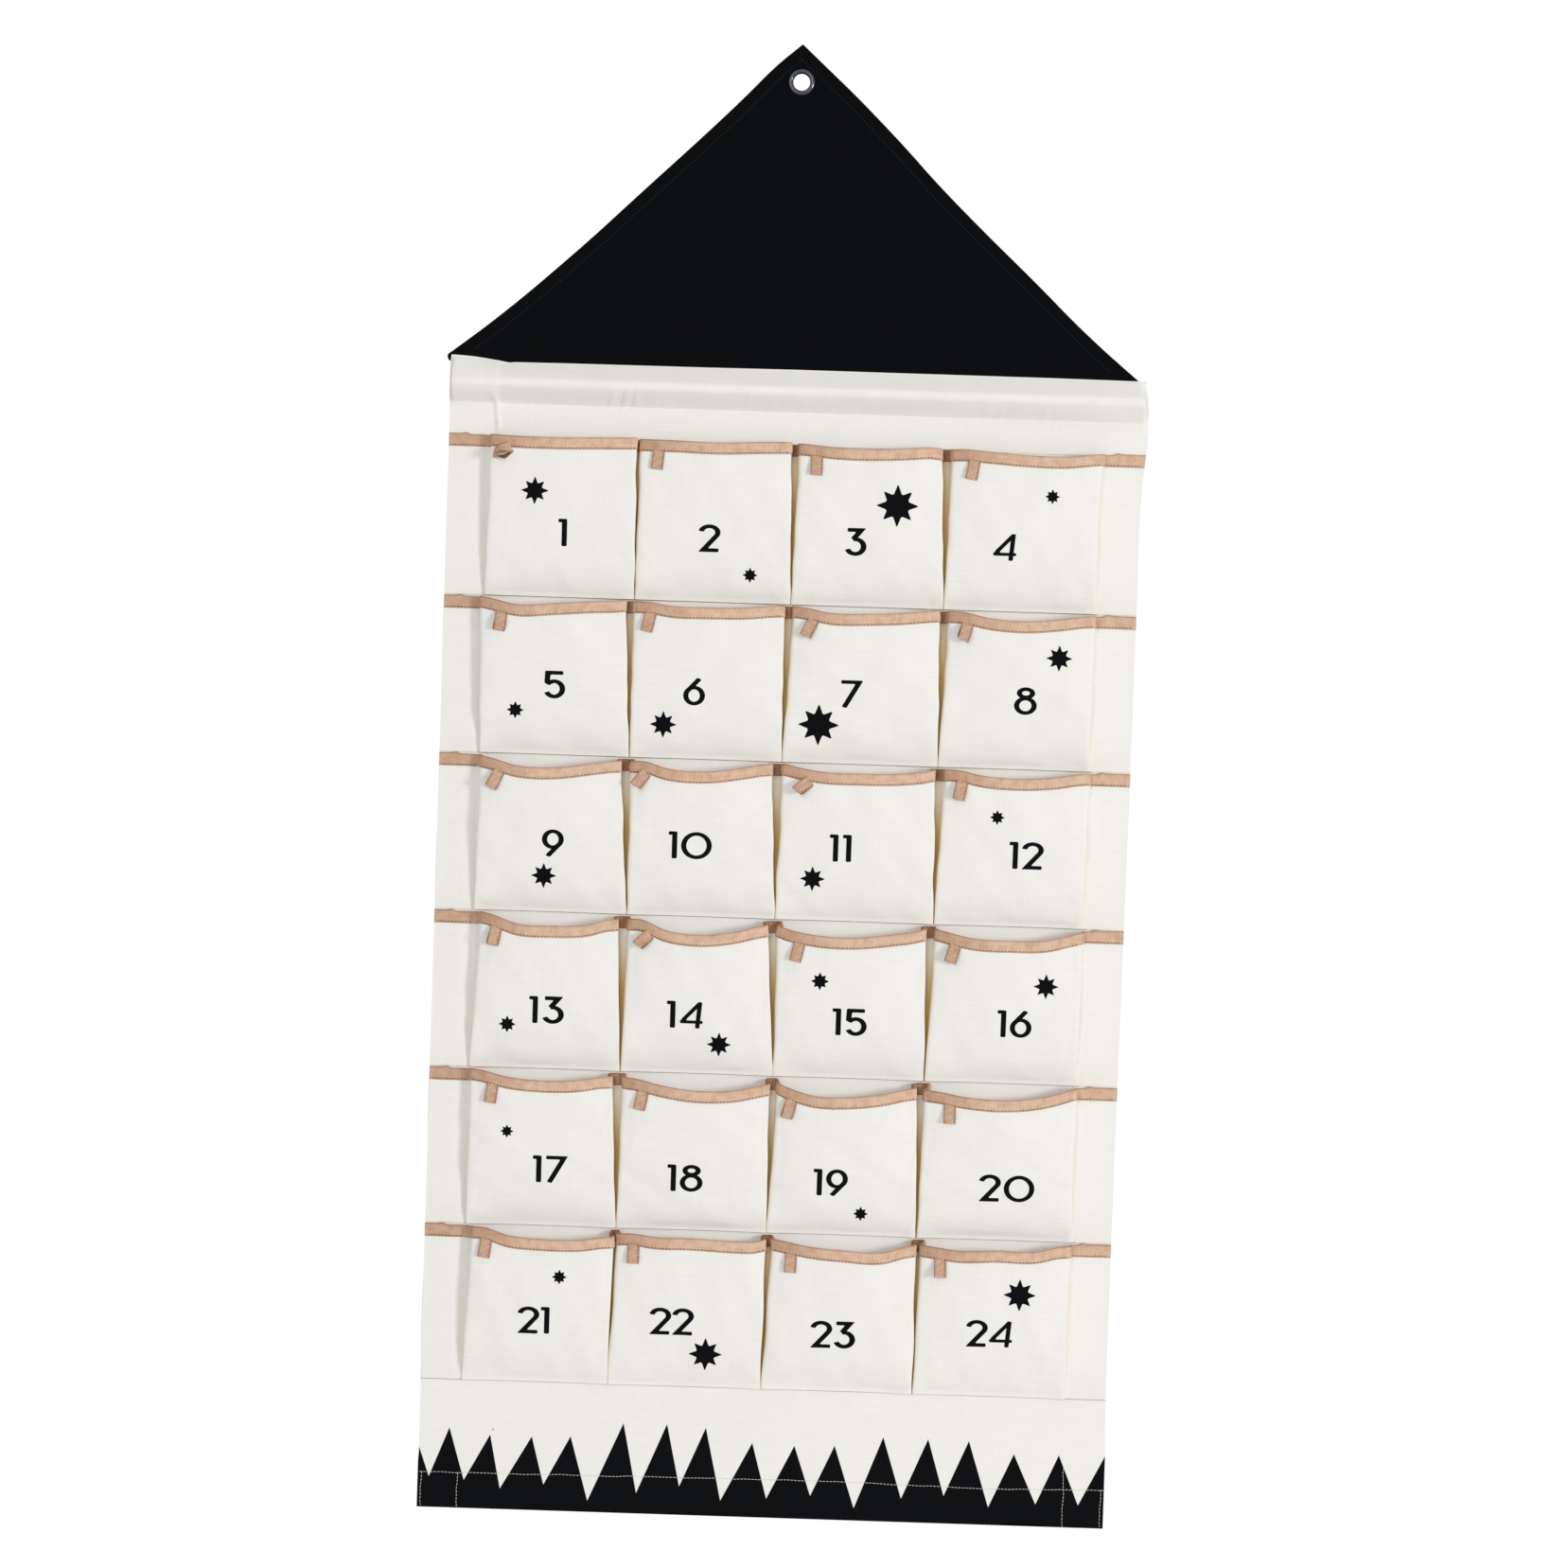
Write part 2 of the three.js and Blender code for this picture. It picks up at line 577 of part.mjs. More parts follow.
function loopGeometry(leanShare) {
  const half = LOOP_BULK / 2;
  const rootHalf = TAPE + LOOP_ROOT_GAP / 2;
  const side = LOOP_OUTER_SHARES.map(([bulk, drop]) => [half * bulk, -LOOP_LENGTH * drop]);
  const outer = [[rootHalf, 0], ...side, [0, -LOOP_LENGTH]];
  const mirrored = [...outer.slice(0, -1)].reverse().map(([y, z]) => [-y, z]);
  const shape = new THREE.Shape([...outer, ...mirrored].map(([y, z]) => new THREE.Vector2(y, z)));
  const widest = half - TAPE;
  const lower = half * EYE_LOWER_WIDTH_SHARE;
  const eye = [
    [0, -LOOP_LENGTH * EYE_TOP_SHARE],
    [-widest, -LOOP_LENGTH * EYE_WIDEST_SHARE],
    [-lower, -LOOP_LENGTH * EYE_LOWER_SHARE],
    [0, TAPE - LOOP_LENGTH],
    [lower, -LOOP_LENGTH * EYE_LOWER_SHARE],
    [widest, -LOOP_LENGTH * EYE_WIDEST_SHARE],
  ];
  shape.holes.push(new THREE.Path(eye.map(([y, z]) => new THREE.Vector2(y, z))));
  const geometry = new THREE.ExtrudeGeometry(shape, { depth: TAPE_WIDTH, bevelEnabled: false });
  geometry.translate(0, 0, -TAPE_WIDTH / 2);
  geometry.rotateX(Math.PI / 2);
  geometry.rotateZ(Math.PI / 2);
  const points = geometry.attributes.position;
  for (let k = 0; k < points.count; k++) points.setX(k, points.getX(k) + leanShare * points.getZ(k));
  return geometry;
}

// Assembly
addMesh('back_panel', panelGeometry(), canvas);
addMesh('gable', gableGeometry(), blackCanvas);
addMesh('eyelet_ring', eyeletGeometry(), nickel);
addMesh('eyelet_washer', washerGeometry(), nickel);
addMesh('rod_sleeve', sleeveGeometry(), canvas);
rodMesh();
for (let row = 0; row < ROWS; row++) {
  addMesh(`pocket_strip_row_${row + 1}`, stripGeometry(row), canvas);
  addMesh(`binding_row_${row + 1}`, bindingGeometry(row), cottonTape);
  for (let column = 0; column < COLUMNS; column++) {
    const number = String(row * COLUMNS + column + 1).padStart(2, '0');
    const loop = addMesh(`loop_${number}`, loopGeometry(LOOP_LEAN_SHARES[row][column]), cottonTape);
    loop.position.set(...loopRoot(row, column));
  }
}

export default calendar;
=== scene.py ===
"""Pocket advent calendar: twenty-four pleated canvas pockets on a hanging panel.

Lengths are in millimetres until a mesh is made. X runs to the right, Z up and -Y towards
the viewer, from the middle of the eyelet on the plane of the wall. Places that were read
off the photograph are in its pixels, and PhotoView turns them into places on the cloth.
"""

import json
import logging
import math
from collections.abc import Callable
from dataclasses import dataclass, field
from enum import Enum, IntEnum

import bpy
import numpy as np
from mathutils import Matrix, Vector
from mathutils.geometry import delaunay_2d_cdt


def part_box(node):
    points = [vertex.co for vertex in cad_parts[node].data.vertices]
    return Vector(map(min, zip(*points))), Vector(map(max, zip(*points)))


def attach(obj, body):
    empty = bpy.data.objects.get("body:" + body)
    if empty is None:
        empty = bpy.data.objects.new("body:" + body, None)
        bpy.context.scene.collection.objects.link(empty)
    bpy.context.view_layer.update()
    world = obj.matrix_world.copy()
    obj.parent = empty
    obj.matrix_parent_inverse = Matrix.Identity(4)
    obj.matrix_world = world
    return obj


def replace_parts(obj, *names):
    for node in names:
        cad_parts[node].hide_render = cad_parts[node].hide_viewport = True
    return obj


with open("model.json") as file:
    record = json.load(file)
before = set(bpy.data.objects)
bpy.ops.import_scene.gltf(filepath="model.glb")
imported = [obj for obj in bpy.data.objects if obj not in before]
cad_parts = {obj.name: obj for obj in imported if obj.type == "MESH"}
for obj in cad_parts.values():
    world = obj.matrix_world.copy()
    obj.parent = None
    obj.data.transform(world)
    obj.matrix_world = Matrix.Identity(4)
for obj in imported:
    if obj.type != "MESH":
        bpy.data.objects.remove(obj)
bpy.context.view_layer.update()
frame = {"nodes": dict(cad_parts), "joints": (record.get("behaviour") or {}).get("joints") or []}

LOG = logging.getLogger("calendar")
MM = 0.001
PHOTO_PIXELS = 1657
MM_PER_PIXEL = 0.8174
ROWS = 6
COLUMNS = 4

Array = np.ndarray
Pair = tuple[float, float]
Piece = bpy.types.Object
Tree = bpy.types.NodeTree
Socket = bpy.types.NodeSocket


class Slot(Enum):
    """Material slots of the record."""

    CANVAS = "natural_canvas"
    BLACK = "black_canvas"
    TAPE = "cotton_tape"
    NICKEL = "nickel"


class Body(Enum):
    """Bodies that pieces ride on."""

    GABLE = "gable"
    PANEL = "panel"


# Sizes


@dataclass(frozen=True)
class Sizes:
    """Main sizes of the hanging, the same as those of its solids."""

    cloth: float = 0.9
    tape: float = 0.5
    tape_width: float = 10.3
    gap: float = 0.3
    panel_left: float = -295.6
    panel_right: float = 304.4
    head: float = -247.4
    foot: float = -1241.4
    bottom_hem: float = 33.0
    head_band: float = 65.5
    first_row_extra: float = 3.5
    row_pitch: float = 136.0
    row_gap: float = 3.3
    margin: float = 36.0
    column_pitch: float = 132.0
    seam_half: float = 1.7
    mouth_depth: float = 10.4
    mouth_bulge: float = 5.0
    sewn_foot: float = 3.0

    @property
    def front(self) -> float:
        """Y of the panel's front face."""
        return -2 * self.cloth

    @property
    def binding_half(self) -> float:
        """Half the thickness of a binding where it is sewn down."""
        return self.cloth / 2 + self.gap + self.tape

    def row_top(self, row: int) -> float:
        """Height of a row's binding at its seams; row 6 is where the last strip ends."""
        extra = self.first_row_extra if row > 0 else 0.0
        return self.head - self.head_band - extra - row * self.row_pitch

    def seam(self, column: int) -> float:
        """X of the seam at a column's left."""
        return self.panel_left + self.margin + column * self.column_pitch


SIZES = Sizes()

# Distances from the panel's left edge, and how far the gable's seam sags there.
SEAM_DIPS = (
    (0, -3.9), (13, -3.3), (23, -2.5), (33, -1.2), (45, 0.5), (52, 1.6), (56, 1.05), (100, 0.65),
    (220, 0.3), (300, -0.25), (520, -0.25), (600, 0.2),
)


def seam_dip(x: Array) -> Array:
    """How far the gable's seam sags under a straight line: it rises at its left end."""
    return np.interp(x - SIZES.panel_left, *zip(*SEAM_DIPS))


def edge_drift(x: Array, z: Array) -> Array:
    """How far the hanging panel's cloth lies to the right of straight side edges.

    Args:
        x: Places across.
        z: Places up.

    Returns:
        Millimetres: 1.6 at the left edge, fading to nothing at the first seam. At the right
        edge a swell at the rod's sleeve, a slow narrowing on the way down and a return at
        the last row, fading to nothing at the fourth seam.
    """
    down = -np.asarray(z, float)
    left = 1.6 * (1 - smoothstep(x, SIZES.panel_left, SIZES.seam(0)))
    swell, narrower = 4.6 * bump(down, 290, 40), 3.2 * smoothstep(down, 400, 1100)
    right = swell - 0.8 - narrower + 1.5 * smoothstep(down, 1130, 1235)
    return left + right * smoothstep(x, SIZES.seam(3), SIZES.seam(4))


@dataclass(frozen=True)
class PhotoView:
    """Pinhole camera that stands where the photograph was taken from."""

    x: float = 4.4
    distance: float = 3000.0
    z: float = -542.6
    pitch_deg: float = 1.18
    roll_deg: float = 1.87
    lens_mm: float = 79.66
    sensor_mm: float = 36.0

    def axes(self) -> Array:
        """Camera axes in the object's frame.

        Returns:
            Rows are right, up and forward: level axes turned down by the pitch about X,
            then turned by the roll about the line of sight.
        """
        pitch, roll = math.radians(self.pitch_deg), math.radians(self.roll_deg)
        forward = np.array([0.0, math.cos(pitch), -math.sin(pitch)])
        level_up = np.array([0.0, math.sin(pitch), math.cos(pitch)])
        level_right = np.array([1.0, 0.0, 0.0])
        right = level_right * math.cos(roll) + level_up * math.sin(roll)
        up = level_up * math.cos(roll) - level_right * math.sin(roll)
        return np.stack([right, up, forward])

    def on_plane(self, pixels: Array, y: float) -> Array:
        """Places on a plane of constant Y that show at given pixels of the photograph.

        Args:
            pixels: One row of (across, down) for each place.
            y: The plane's Y.

        Returns:
            One row of (x, z) for each place, where the pixel's ray meets the plane.
        """
        right, up, forward = self.axes()
        focal = self.lens_mm / self.sensor_mm * PHOTO_PIXELS
        offset = (np.asarray(pixels, float) - PHOTO_PIXELS / 2) / focal
        ray = forward + offset[:, :1] * right - offset[:, 1:] * up
        reach = (y + self.distance) / ray[:, 1]
        return np.stack([self.x + reach * ray[:, 0], self.z + reach * ray[:, 2]], axis=1)

    def make(self) -> None:
        """Adds the camera and makes it the scene's."""
        data = bpy.data.cameras.new("photo_camera")
        data.lens, data.sensor_width = self.lens_mm, self.sensor_mm
        data.clip_end = 50.0
        camera = bpy.data.objects.new("photo_camera", data)
        bpy.context.scene.collection.objects.link(camera)
        right, up, forward = self.axes()
        turn = Matrix(np.stack([right, up, -forward], axis=1).tolist()).to_4x4()
        place = Matrix.Translation((self.x * MM, -self.distance * MM, self.z * MM))
        camera.matrix_world = place @ turn
        bpy.context.scene.camera = camera


PHOTO = PhotoView()


# Pockets as they hang


@dataclass(frozen=True)
class Loop:
    """How one pocket's tape loop hangs, in degrees.

    Lean turns it to the left in the picture, tilt swings it out, curl bends it further
    out along its length, twist turns it about its length, and gape is how far its two
    leaves stand apart at the widest, in millimetres.
    """

    lean: float = 0.0
    tilt: float = 2.0
    curl: float = 4.0
    twist: float = 0.0
    gape: float = 1.0


@dataclass(frozen=True)
class Pocket:
    """One pocket: its mouth's droop, its two folds, its print and its loop.

    The droop is in millimetres at DROOP_SHARES of the mouth. The folds are how far the
    front's left and right edges stand from their seams at the mouth, in millimetres.
    The numeral's middle and the star's middle and radius are in the photograph's pixels.
    """

    number: int
    droop: tuple[float, ...]
    left: float
    right: float
    numeral: Pair
    star: tuple[float, float, float] | None
    loop: Loop = field(default_factory=Loop)

    @property
    def bulge(self) -> float:
        """How much further its mouth's middle stands out than its folds: more as it droops."""
        return SIZES.mouth_bulge * (0.3 + 0.05 * max(self.droop))


DROOP_SHARES = (0.0, 0.08, 0.25, 0.5, 0.8, 0.92, 1.0)

# How far to the right of its seam each pocket's left edge meets the row's foot.
FOOT_SHIFTS = (
    (0.0, -2.4, 0.3, 0.2),
    (0.3, -2.5, -2.8, 0.1),
    (-0.6, -0.6, -4.5, 0.8),
    (-0.1, -1.7, -1.6, -2.6),
    (0.8, -1.1, -2.7, -4.9),
    (1.2, -4.4, -3.2, -4.0),
)

POCKETS = (
    Pocket(1, (-1.4, -0.8, -0.2, -0.2, -1.4, -1.8, -2.2), 3.3, 4.0,
           (594, 562.5), (565, 518, 14.9), Loop(lean=58, tilt=10, curl=10, twist=84, gape=5.6)),
    Pocket(2, (-1.2, -1.0, -0.8, 0.0, -1.8, -2.4, -2.6), -0.1, 3.1,
           (749, 568.5), (792.5, 607.5, 7.3), Loop(lean=6)),
    Pocket(3, (-1.8, -1.0, 0.8, 1.2, -0.8, -2.0, -1.2), 4.6, 5.4,
           (904, 572.5), (948.5, 534.5, 22.8), Loop(lean=1)),
    Pocket(4, (-0.8, -1.2, 0.2, 2.2, 2.0, 0.0, -1.2), 4.0, 1.2,
           (1062, 578), (1112.5, 525, 7.2), Loop(lean=10)),
    Pocket(5, (-2.0, 0.2, 4.6, 2.8, -0.2, -1.0, -2.2), -1.8, 9.0,
           (585.5, 723.5), (544, 750, 8.3), Loop(lean=7, twist=-18, gape=3.2)),
    Pocket(6, (-1.4, -1.2, 1.8, 2.0, 0.6, -1.2, -1.8), -1.5, 4.5,
           (733.5, 731), (700.5, 765.5, 14.5), Loop(lean=13)),
    Pocket(7, (-1.6, -0.4, 3.4, 3.2, 0.8, -1.0, -2.0), 3.9, 3.3,
           (900, 733.5), (865, 766, 22.3), Loop(lean=27, tilt=12, twist=8)),
    Pocket(8, (-1.6, -1.4, 2.8, 5.2, 2.0, -0.4, -1.2), 5.8, 1.2,
           (1084, 741), (1119.5, 696, 14.1), Loop(lean=17, tilt=12, curl=26, twist=-16, gape=3.0)),
    Pocket(9, (-0.6, 1.4, 6.8, 8.0, 3.2, 1.0, 0.2), 2.6, 9.0,
           (584, 891), (574, 925.5, 13.7), Loop(lean=26, tilt=8, twist=-12, gape=2.6)),
    Pocket(10, (0.2, 0.0, 5.4, 7.4, 2.8, 0.0, -1.2), 0.4, 10.8,
           (729, 893.5), None, Loop(lean=38, tilt=16, curl=22, twist=12)),
    Pocket(11, (-2.0, 0.4, 4.0, 4.6, 3.4, 1.6, -0.8), -0.7, 2.5,
           (888, 896.5), (858.5, 929, 13.6), Loop(lean=52, tilt=18, curl=18, twist=26, gape=2.0)),
    Pocket(12, (-1.4, -1.2, 2.8, 4.6, 2.0, -0.6, -1.8), 6.7, 1.2,
           (1084, 904.5), (1054, 864, 7.2), Loop(lean=13, tilt=8, curl=14, gape=2.4)),
    Pocket(13, (-2.2, 0.0, 6.8, 8.2, 5.8, 1.8, 0.8), 7.3, 7.2,
           (577, 1067.5), (535.5, 1082.5, 8.3), Loop(lean=12, twist=-16, gape=2.6)),
    Pocket(14, (0.2, 0.2, 8.2, 11.8, 7.4, 3.6, 1.8), 2.7, 10.2,
           (723.5, 1072.5), (759.5, 1104.5, 13.3), Loop(lean=48, tilt=18, curl=18, twist=24, gape=2.0)),
    Pocket(15, (2.0, 5.0, 8.8, 10.0, 5.8, 3.4, 0.8), -1.1, 5.7,
           (897.5, 1080.5), (866.5, 1037, 8.7), Loop(lean=14)),
    Pocket(16, (0.4, 2.8, 7.2, 8.2, 6.2, 2.2, -0.4), 3.6, 1.2,
           (1072, 1082.5), (1105.5, 1043, 13.6), Loop(lean=18, tilt=8, curl=18, gape=2.8)),
    Pocket(17, (-2.6, -1.2, 3.4, 5.8, 4.0, 1.4, 0.8), 2.0, 8.3,
           (581, 1236), (535.5, 1195.5, 6.4), Loop(lean=8)),
    Pocket(18, (1.0, 1.8, 6.4, 10.4, 8.4, 5.0, 2.8), 1.8, 4.4,
           (723.5, 1245.5), None, Loop(lean=12)),
    Pocket(19, (1.8, 5.6, 11.2, 11.8, 7.2, 3.8, 2.4), 3.4, 9.5,
           (877.5, 1250), (909.5, 1284, 7.3), Loop(lean=15, twist=-12, gape=2.2)),
    Pocket(20, (3.6, 4.4, 8.0, 10.0, 6.0, 1.8, -1.8), -1.8, 1.2,
           (1064, 1256.5), None, Loop(lean=1, curl=14)),
    Pocket(21, (-1.8, -1.4, 4.6, 6.6, 6.0, 3.8, 3.0), 8.0, 2.0,
           (563.5, 1395.5), (591, 1349.5, 7.3), Loop(lean=8)),
    Pocket(22, (0.4, -0.2, 2.2, 2.2, 3.6, 3.4, 1.4), 1.4, 3.3,
           (709, 1397), (745, 1432.5, 18.1), Loop(lean=1)),
    Pocket(23, (0.6, 2.2, 5.8, 8.2, 8.2, 3.6, 2.0), 3.1, 5.4,
           (880, 1411), None, Loop(lean=2)),
    Pocket(24, (1.8, 2.8, 5.4, 4.0, 3.6, -0.2, -1.2), -0.5, 1.2,
           (1045.5, 1410), (1077.5, 1369, 17.5), Loop(lean=0, tilt=8, curl=22)),
)


# Meshes


def linear(colour: str) -> tuple[float, float, float, float]:
    """Linear RGBA of an sRGB hex colour, by sRGB's decoding curve, with alpha 1."""
    coded = [int(colour[k:k + 2], 16) / 255 for k in (1, 3, 5)]
    light = [c / 12.92 if c <= 0.04045 else ((c + 0.055) / 1.055) ** 2.4 for c in coded]
    return (*light, 1.0)


def ripple(x: Array, z: Array, seed: int, longest: float, count: int = 7) -> Array:
    """Smooth unevenness of hanging cloth, within about -1..1, another for each seed.

    It is a sum of sine waves of random directions and phases, whose wavelengths run down
    from the longest to a third of it.
    """
    chance = np.random.default_rng(seed)
    total = np.zeros(np.broadcast(x, z).shape)
    for length in np.linspace(longest, longest / 3, count):
        angle, phase = chance.uniform(0, 2 * math.pi, 2)
        along = x * math.cos(angle) + z * math.sin(angle)
        total += np.sin(2 * math.pi * along / length + phase)
    return total / math.sqrt(count)


def smoothstep(value: Array, low: float, high: float) -> Array:
    """Smooth rise from 0 at low to 1 at high: 3t^2 - 2t^3 of the clipped share t."""
    t = np.clip((np.asarray(value, float) - low) / (high - low), 0, 1)
    return t * t * (3 - 2 * t)


def bump(value: Array, middle: float, width: float) -> Array:
    """Bell curve exp(-((v - middle) / width)^2)."""
    return np.exp(-(((np.asarray(value, float) - middle) / width) ** 2))


def swells(value: Array, curves: tuple[tuple[float, float, float], ...]) -> Array:
    """Sum of bell curves, each given by its height, its middle and its width."""
    return sum(height * bump(value, middle, width) for height, middle, width in curves)


def rounded(controls: Array, rounds: int) -> Array:
    """Rounds the corners of a path by cutting them.

    Each round puts two points, at a quarter and three quarters, on every edge in place of
    the corners. The two ends stay.
    """
    points = controls
    for _ in range(rounds):
        ahead, behind = points[:-1], points[1:]
        cut = np.stack([0.75 * ahead + 0.25 * behind, 0.25 * ahead + 0.75 * behind], axis=1)
        points = np.concatenate([points[:1], cut.reshape(-1, points.shape[1]), points[-1:]])
    return points


def signed_volume(points: Array, faces: Array) -> float:
    """Six times the volume in a closed mesh: the sum of each triangle's a . (b x c)."""
    total = 0.0
    for k in range(1, faces.shape[1] - 1):
        a, b, c = points[faces[:, 0]], points[faces[:, k]], points[faces[:, k + 1]]
        total += float((a * np.cross(b, c)).sum())
    return total


def add_mesh(name: str, points: Array, faces: Array, uv: Array | None = None,
             sharp_deg: float = 50.0) -> Piece:
    """Makes a closed mesh object, with its faces turned to point outwards.

    Args:
        name: The object's name.
        points: One row of (x, y, z) for each vertex, in millimetres.
        faces: One row of vertex numbers for each face, all with as many corners.
        uv: One row of cloth coordinates for each vertex, in millimetres.
        sharp_deg: Edges that turn by more than this are shaded as edges.

    Returns:
        The object, at the origin, with its place in its mesh.
    """
    if signed_volume(points, faces) < 0:
        faces = faces[:, ::-1]
    mesh = bpy.data.meshes.new(name)
    mesh.vertices.add(len(points))
    mesh.vertices.foreach_set("co", (points * MM).astype(np.float32).ravel())
    mesh.loops.add(faces.size)
    mesh.loops.foreach_set("vertex_index", faces.astype(np.int32).ravel())
    mesh.polygons.add(len(faces))
    mesh.polygons.foreach_set("loop_start", np.arange(0, faces.size, faces.shape[1], dtype=np.int32))
    if uv is not None:
        layer = mesh.uv_layers.new(name="cloth")
        layer.data.foreach_set("uv", (uv[faces.ravel()] * MM).astype(np.float32).ravel())
    mesh.update(calc_edges=True)
    mesh.validate()
    mesh.shade_smooth()
    mesh.set_sharp_from_angle(angle=math.radians(sharp_deg))
    piece = bpy.data.objects.new(name, mesh)
    bpy.context.scene.collection.objects.link(piece)
    return piece


def mark(piece: Piece, name: str, values: Array, behind: Array | None = None) -> None:
    """Stores grids of values on a sheet's two sides under a name; one may serve for both."""
    layer = piece.data.attributes.new(name, "FLOAT", "POINT")
    both = np.concatenate([values.ravel(), (values if behind is None else behind).ravel()])
    layer.data.foreach_set("value", both.astype(np.float32))


def shell_faces(rows: int, columns: int) -> Array:
    """Faces of a sheet made of two grids of points that are joined along their rims.

    They are the first grid's, the second's turned round, and the rim's, four numbers for
    each. The second grid's numbers follow the first's.
    """
    at = np.arange(rows * columns).reshape(rows, columns)
    corners = [at[:-1, :-1], at[:-1, 1:], at[1:, 1:], at[1:, :-1]]
    first = np.stack(corners, axis=-1).reshape(-1, 4)
    second = first[:, ::-1] + rows * columns
    rim = np.concatenate([at[0], at[1:, -1], at[-1, -2::-1], at[-2:0:-1, 0]])
    after = np.roll(rim, -1)
    sides = np.stack([after, rim, rim + rows * columns, after + rows * columns], axis=-1)
    return np.concatenate([first, second, sides])


def torus_faces(rows: int, columns: int) -> Array:
    """Faces of a grid of points that closes on itself both ways, four numbers for each."""
    at = np.arange(rows * columns).reshape(rows, columns)
    after, beside = np.roll(at, -1, axis=0), np.roll(at, -1, axis=1)
    return np.stack([at, after, np.roll(after, -1, axis=1), beside], axis=-1).reshape(-1, 4)


def add_shell(name: str, front: Array, back: Array, uv: Array,
              sharp_deg: float = 50.0) -> Piece:
    """Makes a closed sheet from its front and back grids of points.

    One grid of cloth coordinates, in millimetres, is for both sides.
    """
    rows, columns = front.shape[:2]
    points = np.concatenate([front.reshape(-1, 3), back.reshape(-1, 3)])
    both = np.concatenate([uv.reshape(-1, 2)] * 2)
    return add_mesh(name, points, shell_faces(rows, columns), both, sharp_deg)


def within(places: Array, outline: Array) -> Array:
    """Which places lie inside an outline: an odd count of its edges is to their right."""
    ends = np.roll(outline, -1, axis=0)
    x, z = places[:, :1], places[:, 1:]
    rise = ends[:, 1] - outline[:, 1]
    rise = np.where(rise == 0, 1e-12, rise)
    crossing = outline[:, 0] + (z - outline[:, 1]) * (ends[:, 0] - outline[:, 0]) / rise
    straddles = (outline[:, 1] > z) != (ends[:, 1] > z)
    return (straddles & (x < crossing)).sum(axis=1) % 2 == 1


def lengths(path: Array) -> Array:
    """Length along a path up to each of its points."""
    steps = np.linalg.norm(np.diff(path, axis=0), axis=1)
    return np.concatenate([[0], np.cumsum(steps)])


def dense(outline: Array, step: float) -> Array:
    """An outline with points added along its edges, about a step apart."""
    closed = np.concatenate([outline, outline[:1]])
    distance = lengths(closed)
    extra = np.arange(step, distance[-1], step)
    clear = np.abs(extra[:, None] - distance).min(axis=1) > 0.2 * step
    at = np.sort(np.concatenate([distance[:-1], extra[clear]]))
    return np.stack([np.interp(at, distance, closed[:, k]) for k in (0, 1)], axis=1)


def filled(outlines: list[Array], holes: list[Array],
           spacing: float) -> tuple[Array, Array]:
    """Triangles that fill the union of some outlines, less the holes.

    Points are put inside at the spacing, and the triangles are the constrained Delaunay
    ones whose middles lie in an outline.

    Returns:
        The points as rows of (x, z), and the triangles as rows of three numbers.
    """
    rings = outlines + holes
    points = list(rings)
    edges, start = [], 0
    for ring in rings:
        number = start + np.arange(len(ring))
        edges.append(np.stack([number, np.roll(number, -1)], axis=1))
        start += len(ring)
    low = np.min([ring.min(axis=0) for ring in rings], axis=0)
    high = np.max([ring.max(axis=0) for ring in rings], axis=0)
    across, up = (np.arange(low[k] + spacing / 2, high[k], spacing) for k in (0, 1))
    grid = np.stack(np.meshgrid(across, up), axis=-1).reshape(-1, 2)
    keep = np.any([within(grid, ring) for ring in outlines], axis=0)
    points.append(grid[keep])
    made = delaunay_2d_cdt(np.concatenate(points).tolist(), np.concatenate(edges).tolist(), [], 0, 1e-4)
    places = np.array([tuple(p) for p in made[0]])
    triangles = np.array(made[2])
    middles = places[triangles].mean(axis=1)
    inside = np.any([within(middles, ring) for ring in outlines], axis=0)
    for ring in holes:
        inside &= ~within(middles, ring)
    triangles = triangles[inside]
    used, numbers = np.unique(triangles, return_inverse=True)
    return places[used], numbers.reshape(-1, 3)


def add_cut(name: str, outlines: list[Array], holes: list[Array], spacing: float,
            front: Callable[..., Array], back: Callable[..., Array]) -> Piece:
    """Makes a flat-cut piece of cloth or a print, with a thickness.

    The cut is the union of the outlines in x and z, less the holes, with points inside at
    the spacing. Front and back give Y of its two sides. Both sides' triangles are joined
    along every edge that only one triangle uses.
    """
    outlines, holes = ([dense(ring, spacing) for ring in rings] for rings in (outlines, holes))
    places, triangles = filled(outlines, holes, spacing)
    x, z = places[:, 0], places[:, 1]
    count = len(places)
    points = np.concatenate([
        np.stack([x, front(x, z), z], axis=1),
        np.stack([x, back(x, z), z], axis=1),
    ])
    directed = np.concatenate([triangles[:, [0, 1]], triangles[:, [1, 2]], triangles[:, [2, 0]]])
    ordered = np.sort(directed, axis=1)
    _, first, uses = np.unique(ordered, axis=0, return_index=True, return_counts=True)
    a, b = directed[first[uses == 1]].T
    sides = np.concatenate([
        np.stack([b, a, a + count], axis=1),
        np.stack([b, a + count, b + count], axis=1),
    ])
    faces = np.concatenate([triangles, triangles[:, ::-1] + count, sides])
    uv = np.concatenate([places, places])
    return add_mesh(name, points, faces, uv)


def unit(vectors: Array) -> Array:
    """Vectors along the last axis, each divided by its length."""
    return vectors / np.maximum(np.linalg.norm(vectors, axis=-1, keepdims=True), 1e-9)


@dataclass(frozen=True)
class Stitch:
    """Machine stitch: pitch and visible length along the seam, and the thread's radius."""

    pitch: float = 3.1
    length: float = 2.4
    radius: float = 0.26


